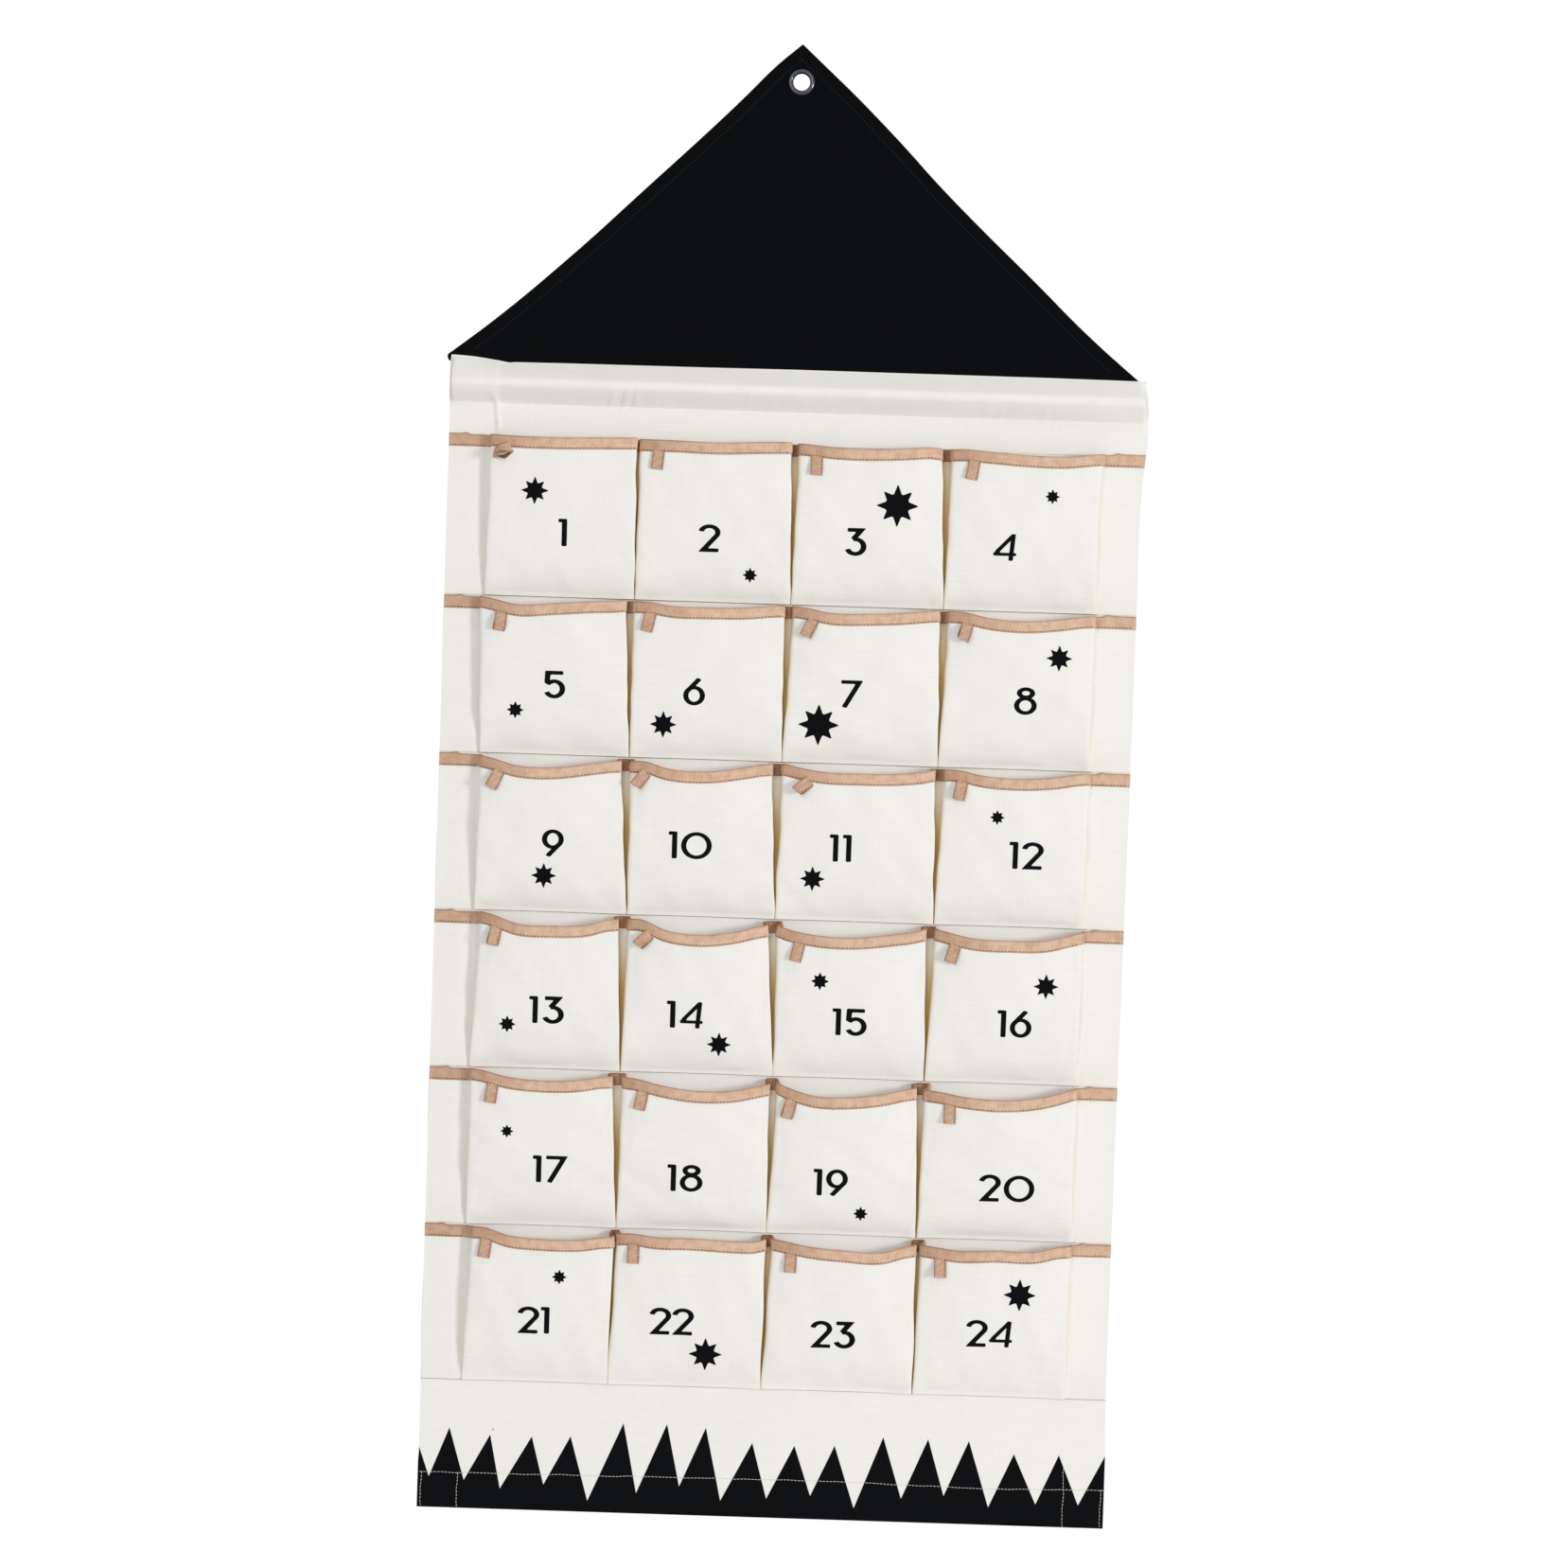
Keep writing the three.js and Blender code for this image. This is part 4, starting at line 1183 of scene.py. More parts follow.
@dataclass
class PocketRow:
    """One row: its strip of canvas, its binding, its seams and its prints.

    The fronts take on some of the pleats' ochre painted shade near their foot, which is their painted foot
    shade.
    Shades are how much painted shade the tape gets in a pleat, at a mouth's left end, on the two margins
    and along its own edges.
    """

    row: int
    finishes: Finishes
    levels: int = 40
    warmth: float = 0.045
    pleat_shade: float = 0.85
    mouth_shade: float = 0.42
    margin_shades: Pair = (0.3, 0.1)
    rim_shade: float = 0.5
    tape_stitch: Stitch = Stitch(radius=0.32)
    end_stitch: Stitch = Stitch(pitch=2.6, length=2.1, radius=0.26)
    # Stitches longer than their pitch, so that the foot's run reads as one painted shadow line.
    foot_stitch: Stitch = Stitch(pitch=3.0, length=3.3, radius=0.34)
    cloth: RowCloth = field(init=False)

    # How much of the pleats' painted shade is taken off towards each row's mouths, where light gets in.
    AIRED = (0.45, 0.5, 0.75, 0.8, 0.75, 0.35)
    # The tape's face, off the cloth's middle.
    FACE = 1.24
    # Outer and inner sides of the folded tape, from its front edge over its top to its
    # back edge: distance off the cloth's middle, and drop under the tape's top.
    OUTER = (
        (0.80, 10.3), (1.05, 10.1), (1.22, 9.2), (1.24, 7.4), (1.16, 5.2), (1.24, 3.0), (1.22, 1.4),
        (1.02, 0.45), (0.55, 0.0), (-0.55, 0.0), (-1.02, 0.45), (-1.22, 1.4), (-1.2, 5.2),
        (-1.2, 9.2), (-0.9, 10.3),
    )
    INNER = (
        (0.48, 10.3), (0.50, 10.1), (0.52, 9.2), (0.52, 7.4), (0.50, 5.2), (0.52, 3.0), (0.52, 1.4),
        (0.50, 0.9), (0.3, 0.6), (-0.3, 0.6), (-0.50, 0.9), (-0.52, 1.4), (-0.50, 5.2),
        (-0.52, 9.2), (-0.50, 10.3),
    )

    def __post_init__(self) -> None:
        """Makes the row's cloth."""
        self.cloth = RowCloth(self.row)

    def build(self) -> None:
        """Builds and dresses every piece of the row."""
        binding = self.binding()
        self.strip()
        self.prints()
        self.seams()

    def strip(self) -> None:
        """Strip of canvas along the row.
        """
        rise = np.concatenate([[-0.024, -0.012], np.linspace(0, 1, self.levels) ** 1.25])
        middle = self.cloth.surface(rise)
        off = self.cloth.outward(middle) * (SIZES.cloth / 2)
        piece = add_shell(f"pocket_cloth_row_{self.row + 1}", middle + off, middle - off,
                          self.cloth.cloth_uv(middle))
        # Painted shade: the pleats' ochre shade, lightened towards the mouths, and a little of it on each
        # front's foot, where the front turns down to the panel.
        foot_shade_share = self.warmth * (1 - smoothstep(rise, 0, 0.25))[:, None]
        aired = 1 - self.AIRED[self.row] * smoothstep(rise, 0.45, 0.92)[:, None]
        mark(piece, "pleat", np.maximum(self.cloth.path[:, Track.PLEAT] * aired, foot_shade_share))
        dress(piece, self.finishes.canvas, Slot.CANVAS, Body.PANEL.value)
        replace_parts(piece, f"pocket_strip_row_{self.row + 1}")

    def binding(self) -> Piece:
        """Cotton tape folded over the strip's upper edge.

        Returns:
            The tape: a U-shaped section carried along the mouth, its two leaves a little
            fuller in the middle, with a crumpled stretch at each seam.
        """
        outer, inner = np.array(self.OUTER), np.array(self.INNER)
        outside, inside = self.tape_points(outer), self.tape_points(inner)
        along, around = lengths(outside[4]), lengths(outer)
        uv = np.stack(np.meshgrid(along, around + 31 * self.row), axis=-1)
        piece = add_shell(f"binding_tape_row_{self.row + 1}", outside, inside, uv)
        # The pleat attribute carries the tape's painted shade.
        mark(piece, "pleat", self.tape_shade(outer))
        dress(piece, self.finishes.tape, Slot.TAPE, Body.PANEL.value)
        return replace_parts(piece, f"binding_row_{self.row + 1}")

    def tape_points(self, section: Array) -> Array:
        """Places of a section of the tape, carried along the mouth.

        Args:
            section: Rows of (distance off the cloth's middle, drop under the tape's top).

        Returns:
            Grid of points: one row for each of the section's, one column for each of the
            path's. Each lies on the cloth's surface at its drop, moved off it.
        """
        cloth, x = self.cloth, self.cloth.path[:, Track.MOUTH_X]
        off, drop = section[:, :1], section[:, 1:]
        drop = drop - self.ear(x) * (1 - drop / SIZES.tape_width)
        rise = (cloth.top - cloth.droop - drop - cloth.sewn_z) / (cloth.mouth_z - cloth.sewn_z)
        points = cloth.surface(rise)
        nearest = np.min([np.abs(x - SIZES.seam(c)) for c in range(1, COLUMNS)], axis=0)
        crumple = bump(nearest, 0, 5.5) * (0.5 * ripple(3 * x, points[..., 2], 5 + self.row, 14.0, 5))
        off = off + np.sign(off) * crumple * (np.abs(off) > 0.6)
        return points + cloth.outward(points) * off[..., None]

    def tape_shade(self, section: Array) -> Array:
        """How much painted shade the tape gets: in the pleats, at each mouth's left end, on the margins and
        at its edges.

        Args:
            section: Rows of (distance off the cloth's middle, drop under the tape's top).

        Returns:
            Shares, one row for each of the section's and one column for each of the path's.
        """
        path = self.cloth.path
        x, share, drop = path[:, Track.MOUTH_X], path[:, Track.SHARE], section[:, 1]
        # Painted shade at each mouth's left end, which turns away from the light, and on the two margins,
        # more on the left one.
        on_mouth = self.mouth_shade * (1 - smoothstep(share, 0.0, 0.5))
        on_margin = np.where(x < 0, *self.margin_shades)
        turned = np.where(path[:, Track.POCKET] > -0.5, on_mouth, on_margin)
        uneven_shade = 1 + 0.35 * ripple(4 * x, 0 * share, 90 + self.row, 16.0, 5)
        pleated = self.pleat_shade * path[:, Track.PLEAT] * np.clip(uneven_shade, 0.5, 1.0)
        along = np.maximum(pleated, turned)
        # Painted shade along the tape's folded top and bottom edges.
        rim = np.maximum(bump(drop, 0.2, 0.8), bump(drop, SIZES.tape_width, 0.8))
        wear_and_shade = np.clip(0.8 * along[None] + (self.rim_shade * rim)[:, None], 0, 1)
        return np.maximum(along[None], wear_and_shade)

    @staticmethod
    def ear(x: Array) -> Array:
        """How far the turned-in ends of a tape stand above it: a low step and a point."""
        left, right = x - SIZES.panel_left, SIZES.panel_right - x
        step = 0.9 * (1 - smoothstep(left, 15, 19)) + 0.9 * (1 - smoothstep(right, 24, 27))
        return step + bump(left, 16, 2.2) + bump(right, 24.5, 2.2)

    def prints(self) -> None:
        """The row's numerals and stars, in one thin layer of ink on the fronts."""
        shapes = []
        plane = SIZES.front - SIZES.mouth_depth - SIZES.mouth_bulge * 0.8
        for pocket in self.cloth.pockets:
            shapes += [self.on_cloth(shape, pocket.numeral, plane) for shape in numeral(pocket.number)]
            if pocket.star:
                across, down, radius = pocket.star
                shapes.append(self.on_cloth(star(radius), (across, down), plane))
        piece = add_cut(
            f"prints_row_{self.row + 1}", shapes, [], 3.0,
            lambda x, z: self.cloth.front_y(x, z) - 0.14, lambda x, z: self.cloth.front_y(x, z) + 0.10,
        )
        dress(piece, self.finishes.ink, Slot.BLACK, Body.PANEL.value)

    @staticmethod
    def on_cloth(shape: Array, middle: Pair, plane: float) -> Array:
        """Moves a shape in pixels, with its Y up, to its place in X and Z.

        Args:
            shape: Rows of (across, up) from the shape's middle, square to the cloth.
            middle: Its middle in the photograph.
            plane: Y of the plane that the print lies near.

        Returns:
            Rows of (x, z).
        """
        return PHOTO.on_plane(np.array([middle]), plane)[0] + shape * MM_PER_PIXEL

    def seams(self) -> None:
        """The row's three threads, each one piece: at its foot, where it also stands in for a shadow line,
        along and across its tape.
        """
        for name, runs, finish, slot in (
            ("foot_shadow_line_stitches", [self.foot_run()], self.finishes.foot_thread, Slot.CANVAS),
            ("tape_stitches", self.tape_runs(), self.finishes.camel_thread, Slot.TAPE),
            ("seam_stitches", self.end_runs(), self.finishes.white_thread, Slot.CANVAS),
        ):
            dress(add_stitches(f"{name}_row_{self.row + 1}", runs), finish, slot, Body.PANEL.value)

    def foot_run(self) -> Array:
        """Stitches along the strip's foot, dark and overlapping so that they also draw the shadow line under
        its lower edge: from seam to seam, and over all of the last row.
        """
        foot = self.cloth.surface(np.array([-0.026]))[0]
        whole = self.row == ROWS - 1
        left = SIZES.panel_left if whole else SIZES.seam(0) - 1
        right = SIZES.panel_right if whole else SIZES.seam(COLUMNS) + 1
        hem = foot[(foot[:, 0] > left) & (foot[:, 0] < right)]
        hem = hem[np.argsort(hem[:, 0])]
        hem[:, 1] = SIZES.front - 0.35
        return stitch_points(hem, facing_front(len(hem)), self.foot_stitch)

    def tape_runs(self) -> list[Array]:
        """Stitches along the tape's lower edge: a run for each front and each margin."""
        path = self.cloth.path
        line, below = (self.tape_points(np.array([(self.FACE, drop)]))[0] for drop in (9.1, 9.5))
        off = self.cloth.outward(np.stack([line, below]))[0]
        stands = (path[:, Track.MOUTH_STAND] > 0.8 * SIZES.mouth_depth) & self.cloth.on_fronts(0.01)
        own = [stands & self.cloth.in_pocket(column) for column in range(COLUMNS)]
        x = path[:, Track.MOUTH_X]
        for low, high in ((SIZES.panel_left + 1, SIZES.seam(0) - 2),
                          (SIZES.seam(COLUMNS) + 2, SIZES.panel_right - 1)):
            own.append((x >= low) & (x <= high))
        return [stitch_points(line[k], off[k], self.tape_stitch) for k in own]

    def end_runs(self) -> list[Array]:
        """White stitches across the tape, at its ends, its last seam and some first ones."""
        last = SIZES.seam(COLUMNS)
        places = [SIZES.panel_left + 2.4, SIZES.panel_right - 2.4, last + 1.8, last + 3.4]
        if self.row in (2, 3, 5):
            places.append(SIZES.seam(0) + 0.4)
        section = np.stack([np.full(8, self.FACE), np.linspace(0.6, 9.8, 8)], axis=1)
        grid = self.tape_points(section)
        x = self.cloth.path[:, Track.MOUTH_X]
        columns = [int(np.argmin(np.abs(x - place))) for place in places]
        return [stitch_points(grid[:, column], facing_front(8), self.end_stitch) for column in columns]


# Numerals and stars


NUMERAL_HEIGHT = 28.5
STROKE = 3.8
CORNER = 0.9
STRETCH = 1.45
# How heavy some digits' strokes are beside the others'.
WEIGHTS = {"2": 1.03, "3": 1.08, "4": 0.86, "5": 1.05}
# Gap after each first digit, and what is added to it where a 0 follows a 2.
DIGIT_GAPS = {"1": 4.6, "2": 2.8}
ROUND_GAP_EXTRA = 2.2

# Stars under this radius are printed a little larger, with shallower notches.
SMALL_STAR = 10
SMALL_STAR_GROWTH = 1.11
SMALL_NOTCH = 0.57
NOTCH = 0.52
SLANTING_POINT = 0.93


def arc(centre: Pair, radii: Pair, start: float, end: float) -> list:
    """Points of an ellipse's arc, centre + radii * (cos a, sin a), about 10 degrees apart."""
    count = max(int(abs(end - start) / 10), 2)
    angles = np.radians(np.linspace(start, end, count + 1))
    return [(centre[0] + radii[0] * math.cos(a), centre[1] + radii[1] * math.sin(a)) for a in angles]


def ring(centre: Pair, radii: Pair) -> list[list]:
    """Whole ellipse as two arcs that overlap a little."""
    return [arc(centre, radii, -5, 185), arc(centre, radii, 175, 365)]


SIX = [[(11.4, 28.2), (2.3, 14.0)], *ring((7.75, 10.2), (6.05, 8.45))]

# Middle lines of each digit's strokes, before they are stretched sideways, and its width.
DIGITS = {
    "0": (ring((11.0, 14.2), (9.3, 12.4)), 22.0),
    "1": ([[(0.1, 26.75), (5.5, 26.75)], [(4.6, 28.5), (4.6, 0)]], 6.35),
    "2": ([[*arc((7.6, 20.4), (6.1, 6.4), 172, -32), (3.2, 1.75), (14.6, 1.75)]], 14.6),
    "3": ([[(1.9, 26.75), (11.9, 26.75), (6.2, 17.0)], arc((7.9, 9.4), (6.1, 7.7), 108, -158)], 15.7),
    "4": ([
        [(13.1, 0), (14.75, 28.1)], [(15.0, 27.4), (2.6, 8.6)], [(0.4, 6.7), (17.1, 6.7)],
        [(1.2, 6.0), (4.6, 10.6)],
    ], 17.1),
    "5": ([[(14.2, 26.75), (2.9, 26.75), (2.5, 15.4)], arc((7.8, 9.8), (6.0, 8.05), 146, -155)], 15.5),
    "6": (SIX, 15.5),
    "7": ([[(0.2, 26.75), (13.4, 26.75), (2.8, 0)]], 16.0),
    "8": ([*ring((8.2, 22.6), (4.8, 4.3)), *ring((8.1, 9.4), (6.4, 7.65))], 16.2),
    "9": ([[(15.5 - x, 28.5 - y) for x, y in line] for line in SIX], 15.5),
}


def stroke(line: list[Pair], width: float) -> Array:
    """Outline of a stroke of even width.

    Args:
        line: The stroke's middle line.
        width: Its width.

    Returns:
        The line moved half the stroke to its left and, back again, to its right. At a
        corner both sides run on until they meet.
    """
    points = np.array(line)
    ways = unit(np.diff(points, axis=0))
    before, after = np.vstack([ways[:1], ways]), np.vstack([ways, ways[-1:]])
    across = np.stack([-(before + after)[:, 1], (before + after)[:, 0]], axis=1)
    scale = width / 2 / (1 + (before * after).sum(axis=1, keepdims=True))
    return np.concatenate([points + across * scale, (points - across * scale)[::-1]])


def nipped(outline: Array, distance: float) -> Array:
    """An outline with its corners cut off.

    Args:
        outline: Rows of (x, y) for the corners, in order.
        distance: How far from the corner each cut meets its two edges, or 0.4 of the
            edge's length where that is less.

    Returns:
        Two corners for each.
    """
    edge = np.roll(outline, -1, axis=0) - outline
    length = np.linalg.norm(edge, axis=1, keepdims=True)
    step = edge * np.minimum(distance / np.maximum(length, 1e-9), 0.4)
    before = np.roll(outline + edge - step, 1, axis=0)
    return np.stack([before, outline + step], axis=1).reshape(-1, 2)


def numeral(number: int) -> list[Array]:
    """Outlines of a number's strokes.

    Args:
        number: The number.

    Returns:
        Outlines in the photograph's pixels about the number's middle, Y up.
    """
    digits = str(number)
    shapes, cursor = [], 0.0
    for k, digit in enumerate(digits):
        lines, width = DIGITS[digit]
        for line in lines:
            shape = nipped(stroke(line, STROKE * WEIGHTS.get(digit, 1.0)) * (STRETCH, 1), CORNER)
            shapes.append(shape + (cursor, -NUMERAL_HEIGHT / 2))
        cursor += width * STRETCH
        if k + 1 < len(digits):
            cursor += DIGIT_GAPS[digit] + (ROUND_GAP_EXTRA if digit == "2" and digits[k + 1] == "0" else 0)
    return [shape - (cursor / 2, 0) for shape in shapes]


def star(radius: float) -> Array:
    """Eight-pointed star.

    Args:
        radius: Radius of its upright points, in the photograph's pixels.

    Returns:
        Sixteen corners: upright points at the radius, slanting ones a little shorter,
        and between them notches, which are shallower in a small star.
    """
    small = radius < SMALL_STAR
    notch, radius = (SMALL_NOTCH, radius * SMALL_STAR_GROWTH) if small else (NOTCH, radius)
    corner = np.arange(16)
    angles = np.radians(90 + 22.5 * corner)
    reach = np.where(corner % 2 == 1, notch, np.where(corner % 4 == 0, 1.0, SLANTING_POINT))
    outline = radius * reach[:, None] * np.stack([np.cos(angles), np.sin(angles)], axis=1)
    return nipped(outline, 0.06 * radius)


# Loops


@dataclass
class HangingLoop:
    """One folded tape loop, which hangs from under its binding on a body of its own.

    Its root is tucked under the tape's edge. Each leaf takes its share of the ribbon, and
    the rest goes round the bottom. The cup is how far the ribbon's edges curve back.
    """

    pocket: Pocket
    finishes: Finishes
    length: float = 15.3
    tucked: float = 0.3
    hidden: float = 0.9
    thickness: float = 0.45
    clearance: float = 0.08
    leaf_share: float = 0.44
    cup: float = 0.25
    steps: int = 44
    places: int = 7
    stitch: Stitch = Stitch(length=2.0, radius=0.2)
    name: str = field(init=False)
    root: Array = field(init=False)

    def __post_init__(self) -> None:
        """Finds the loop's root: across at its hinge, in height under its tape's edge."""
        self.name = f"loop_{self.pocket.number:02d}"
        joint = next(j for j in frame["joints"] if j["child"] == self.name)
        self.root = np.array([float(v) for v in joint["pos_m"]]) / MM
        cloth = RowCloth(self.row)
        self.root[2] = cloth.tape_foot(self.root[0]) + self.tucked
        tape = cloth.front_y(self.root[:1], self.root[2:])[0]
        self.root[1] = tape - self.thickness - self.clearance

    @property
    def row(self) -> int:
        """The row of its pocket, 0 at the top."""
        return (self.pocket.number - 1) // COLUMNS

    def frame_at(self, down: Array) -> tuple[Array, Array, Array]:
        """The loop's spine and the directions across and out of it.

        Args:
            down: Distances from the root along the loop.

        Returns:
            Points, directions across and directions out. The spine starts at the tilt
            and bends steadily by the curl. It turns about itself by the twist, and the
            whole leans in the picture's plane.
        """
        loop = self.pocket.loop
        share = np.clip(down / self.length, 0, 1)
        fine = np.linspace(min(float(down.min()), 0.0), float(down.max()), 200)
        angle = np.radians(loop.tilt + loop.curl * np.clip(fine / self.length, 0, 1))
        step = np.gradient(fine)
        out, drop = np.cumsum(np.sin(angle) * step), np.cumsum(np.cos(angle) * step)
        out, drop = (v - np.interp(0.0, fine, v) for v in (out, drop))
        spine = np.stack([0 * down, -np.interp(down, fine, out), -np.interp(down, fine, drop)], axis=1)
        turn = np.radians(loop.tilt + loop.curl * share)
        facing = np.stack([0 * down, -np.cos(turn), np.sin(turn)], axis=1)
        side = np.stack([1 + 0 * down, 0 * down, 0 * down], axis=1)
        twist = (np.radians(loop.twist) * share)[:, None]
        across = side * np.cos(twist) + facing * np.sin(twist)
        outward = facing * np.cos(twist) - side * np.sin(twist)
        lean = math.radians(loop.lean)
        leaning = np.array([
            [math.cos(lean), 0, math.sin(lean)], [0, 1, 0], [-math.sin(lean), 0, math.cos(lean)],
        ])
        return spine @ leaning.T, across @ leaning.T, outward @ leaning.T

    def side(self, moved: float) -> tuple[Array, Array]:
        """Side view of the ribbon, moved off its middle.

        Args:
            moved: How far outwards from the ribbon's middle line.

        Returns:
            Distance down and distance out of the spine at each step: down the front
            leaf, round the bottom and up the back leaf. The leaves are together at the
            root and part by the gape on the way down.
        """
        t, leaf, half = np.linspace(0, 1, self.steps), self.leaf_share, self.thickness / 2
        gape = 0.5 * self.pocket.loop.gape
        bottom = gape * 0.55 + half
        straight = self.length - bottom
        share = np.minimum(np.clip(t / leaf, 0, 1), np.clip((1 - t) / leaf, 0, 1))
        turn = np.pi * np.clip((t - leaf) / (1 - 2 * leaf), 0, 1)
        belly = gape * np.sin(np.pi * share**1.4) ** 0.8
        width = (half + belly) * (1 - share) + (bottom + belly) * share
        on_leaf = share < 1
        reach = -self.hidden + (straight + self.hidden) * share
        down = np.where(on_leaf, reach, straight + np.sin(turn) * bottom)
        out = np.where(on_leaf, np.where(t < 0.5, width, -width), np.cos(turn) * bottom)
        path = np.stack([down, out], axis=1)
        way = unit(np.gradient(path, axis=0))
        normal = np.stack([-way[:, 1], way[:, 0]], axis=1)
        return tuple((path + normal * moved).T)

    def grid(self, moved: float) -> Array:
        """Grid of points of one side of the ribbon: steps along it by places across."""
        down, out = self.side(moved)
        spine, across, outward = self.frame_at(down)
        shares = np.linspace(-0.5, 0.5, self.places)[:, None]
        core = spine + outward * out[:, None]
        cupped = outward[:, None] * (self.cup * 4 * shares**2)
        return core[:, None] + across[:, None] * (shares * SIZES.tape_width) - cupped + self.root

    def build(self) -> None:
        """Builds the loop with a line of stitches down one side."""
        half, middle = self.thickness / 2, self.places // 2
        outer, inner = self.grid(half), self.grid(-half)
        length = lengths(outer[:, middle])
        across = np.linspace(0, SIZES.tape_width, self.places) + 13 * self.pocket.number
        piece = add_shell(f"tape_{self.name}", outer, inner, np.stack(np.meshgrid(across, length), axis=-1))
        rim = np.zeros((self.steps, self.places))
        rim[:, [0, -1]] = 1.0
        # Painted shade: an uneven ground over the loop's outer side, darker along its edges, and full shade
        # on its inner side between the leaves.
        wear_and_shade = 0.32 + 0.1 * ripple(outer[..., 0], outer[..., 2], 60, 5.0, 3)
        mark(piece, "pleat", np.maximum(wear_and_shade, 0.85 * rim), np.ones_like(rim))
        dress(piece, self.finishes.tape, Slot.TAPE, self.name)
        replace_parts(piece, self.name)
        front = outer[: self.steps // 2]
        run = 0.72 * front[:, -2] + 0.28 * front[:, -1]
        out = unit(np.cross(front[:, -2] - front[:, -3], np.gradient(run, axis=0)))
        out *= np.sign(-out[:, 1:2] + 1e-6)
        stitches = add_stitches(f"{self.name}_stitches", [stitch_points(run, out, self.stitch)])
        dress(stitches, self.finishes.camel_thread, Slot.TAPE, self.name)


# Panel, sleeve and band


ZIGZAG = (
    (443, 1529), (453, 1560), (475, 1508.5), (490, 1564), (518, 1516), (528, 1573), (562, 1518),
    (574, 1569), (603, 1518), (620.5, 1586), (659, 1504), (672, 1578), (705, 1505), (717.5, 1571),
    (746, 1509), (761, 1586), (795, 1525), (809.5, 1584), (839.5, 1528), (856, 1581), (882, 1528),
    (902, 1594), (933.5, 1519), (952, 1584), (981, 1521), (997, 1581), (1024, 1523), (1044, 1593),
    (1071.5, 1537), (1094, 1590), (1119, 1538), (1139, 1591), (1164, 1539),
)
HEM_LINE = ((441, 1555), (610, 1559), (870, 1565), (1030, 1573), (1166, 1575))


@dataclass
class BackPanel:
    """The back panel with its hems and the printed band at its foot.

    Its cloth is flatter behind the pockets than under them, where it hangs free.
    """

    finishes: Finishes
    columns: int = 110
    rows: int = 180
    ink_above: float = 0.16
    side_hem_thickness: float = 0.7
    foot_hem_thickness: float = 0.12
    stitch: Stitch = Stitch(length=2.8, radius=0.24)

    def front_y(self, x: Array, z: Array) -> Array:
        """Y of the panel's front: flat, with ripples that only go back from it."""
        last = -SIZES.row_top(ROWS)
        deep = 0.12 + 0.28 * smoothstep(-z, last - 6, last + 30)
        return SIZES.front + deep * (1 + np.clip(ripple(x, z, 3, 170.0), -1, 1)) / 2

    def build(self) -> None:
        """Builds the panel, its band and its hems."""
        self.cloth()
        self.band()
        self.side_hems()
        self.foot_hem()

    def cloth(self) -> None:
        """The sheet itself, a grid with slightly uneven side edges."""
        shares = np.linspace(0, 1, self.columns)
        share, z = np.meshgrid(shares, np.linspace(SIZES.head, SIZES.foot, self.rows))
        edge = 0.35 * ripple(0 * z, z, 21, 210.0) * (np.abs(share - 0.5) * 2) ** 8
        width = SIZES.panel_right - SIZES.panel_left
        x = SIZES.panel_left + width * share + edge
        x = x + edge_drift(x, z)
        y = self.front_y(x, z)
        front = np.stack([x, y, z], axis=-1)
        back = np.stack([x, y + SIZES.cloth, z], axis=-1)
        piece = add_shell("panel_cloth", front, back, np.stack([x, z], axis=-1))
        dress(piece, self.finishes.canvas, Slot.CANVAS, Body.PANEL.value)
        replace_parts(piece, "back_panel")

    def band(self) -> None:
        """The black zigzag print, with white thread lines across it."""
        peaks = PHOTO.on_plane(np.array(ZIGZAG), SIZES.front)
        foot = SIZES.foot - 0.2
        left, right = (x + float(edge_drift(x, foot)) for x in (SIZES.panel_left, SIZES.panel_right))
        peaks[-1, 0] = right
        outline = np.concatenate([peaks, [(right, foot), (left, foot), (left, peaks[0, 1] - 12)]])
        piece = add_cut(
            "zigzag_print", [outline], [], 9.0,
            lambda x, z: self.front_y(x, z) - self.ink_above, lambda x, z: self.front_y(x, z) + 0.1,
        )
        dress(piece, self.finishes.ink, Slot.BLACK, Body.PANEL.value)
        across = np.linspace(left + 1, right - 1, 200)
        line = PHOTO.on_plane(np.array(HEM_LINE), SIZES.front)
        wander = 0.25 * ripple(across, 0 * across, 9, 60.0)
        runs = [self.run(across, np.interp(across, line[:, 0], line[:, 1]) + wander)]
        for x, top in ((left + 3, 31), (SIZES.seam(0), 31), (SIZES.seam(COLUMNS) - 2, 52), (right - 3, 34)):
            down = np.linspace(SIZES.foot + top, SIZES.foot + 0.5, 30)
            runs.append(self.run(x + 0.3 * ripple(0 * down, down, 8, 30.0), down))
        dress(add_stitches("band_stitches", runs), self.finishes.white_thread, Slot.CANVAS, Body.PANEL.value)

    def run(self, x: Array, z: Array) -> Array:
        """Stitches along places on the front of the printed band."""
        path = np.stack([x, self.front_y(x, z) - self.ink_above, z], axis=1)
        return stitch_points(path, facing_front(len(x)), self.stitch)

    def side_hems(self) -> None:
        """The side hems on the back, in plain canvas, from the head to the foot's hem."""
        left, right, width = SIZES.panel_left, SIZES.panel_right, SIZES.margin
        heights = np.linspace(SIZES.head - 1, SIZES.foot + SIZES.bottom_hem + 1, 90)
        for side, start, end in (("left", left + 0.3, left + width), ("right", right - width, right - 0.3)):
            x, z = np.meshgrid(np.linspace(start, end, 9), heights)
            x = x + edge_drift(x, z)
            near = self.front_y(x, z) + SIZES.cloth + 0.02
            far = np.minimum(near + self.side_hem_thickness, -0.02)
            piece = add_shell(f"{side}_hem", np.stack([x, near, z], axis=-1), np.stack([x, far, z], axis=-1),
                              np.stack([x, z], axis=-1))
            dress(piece, self.finishes.canvas, Slot.CANVAS, Body.PANEL.value)

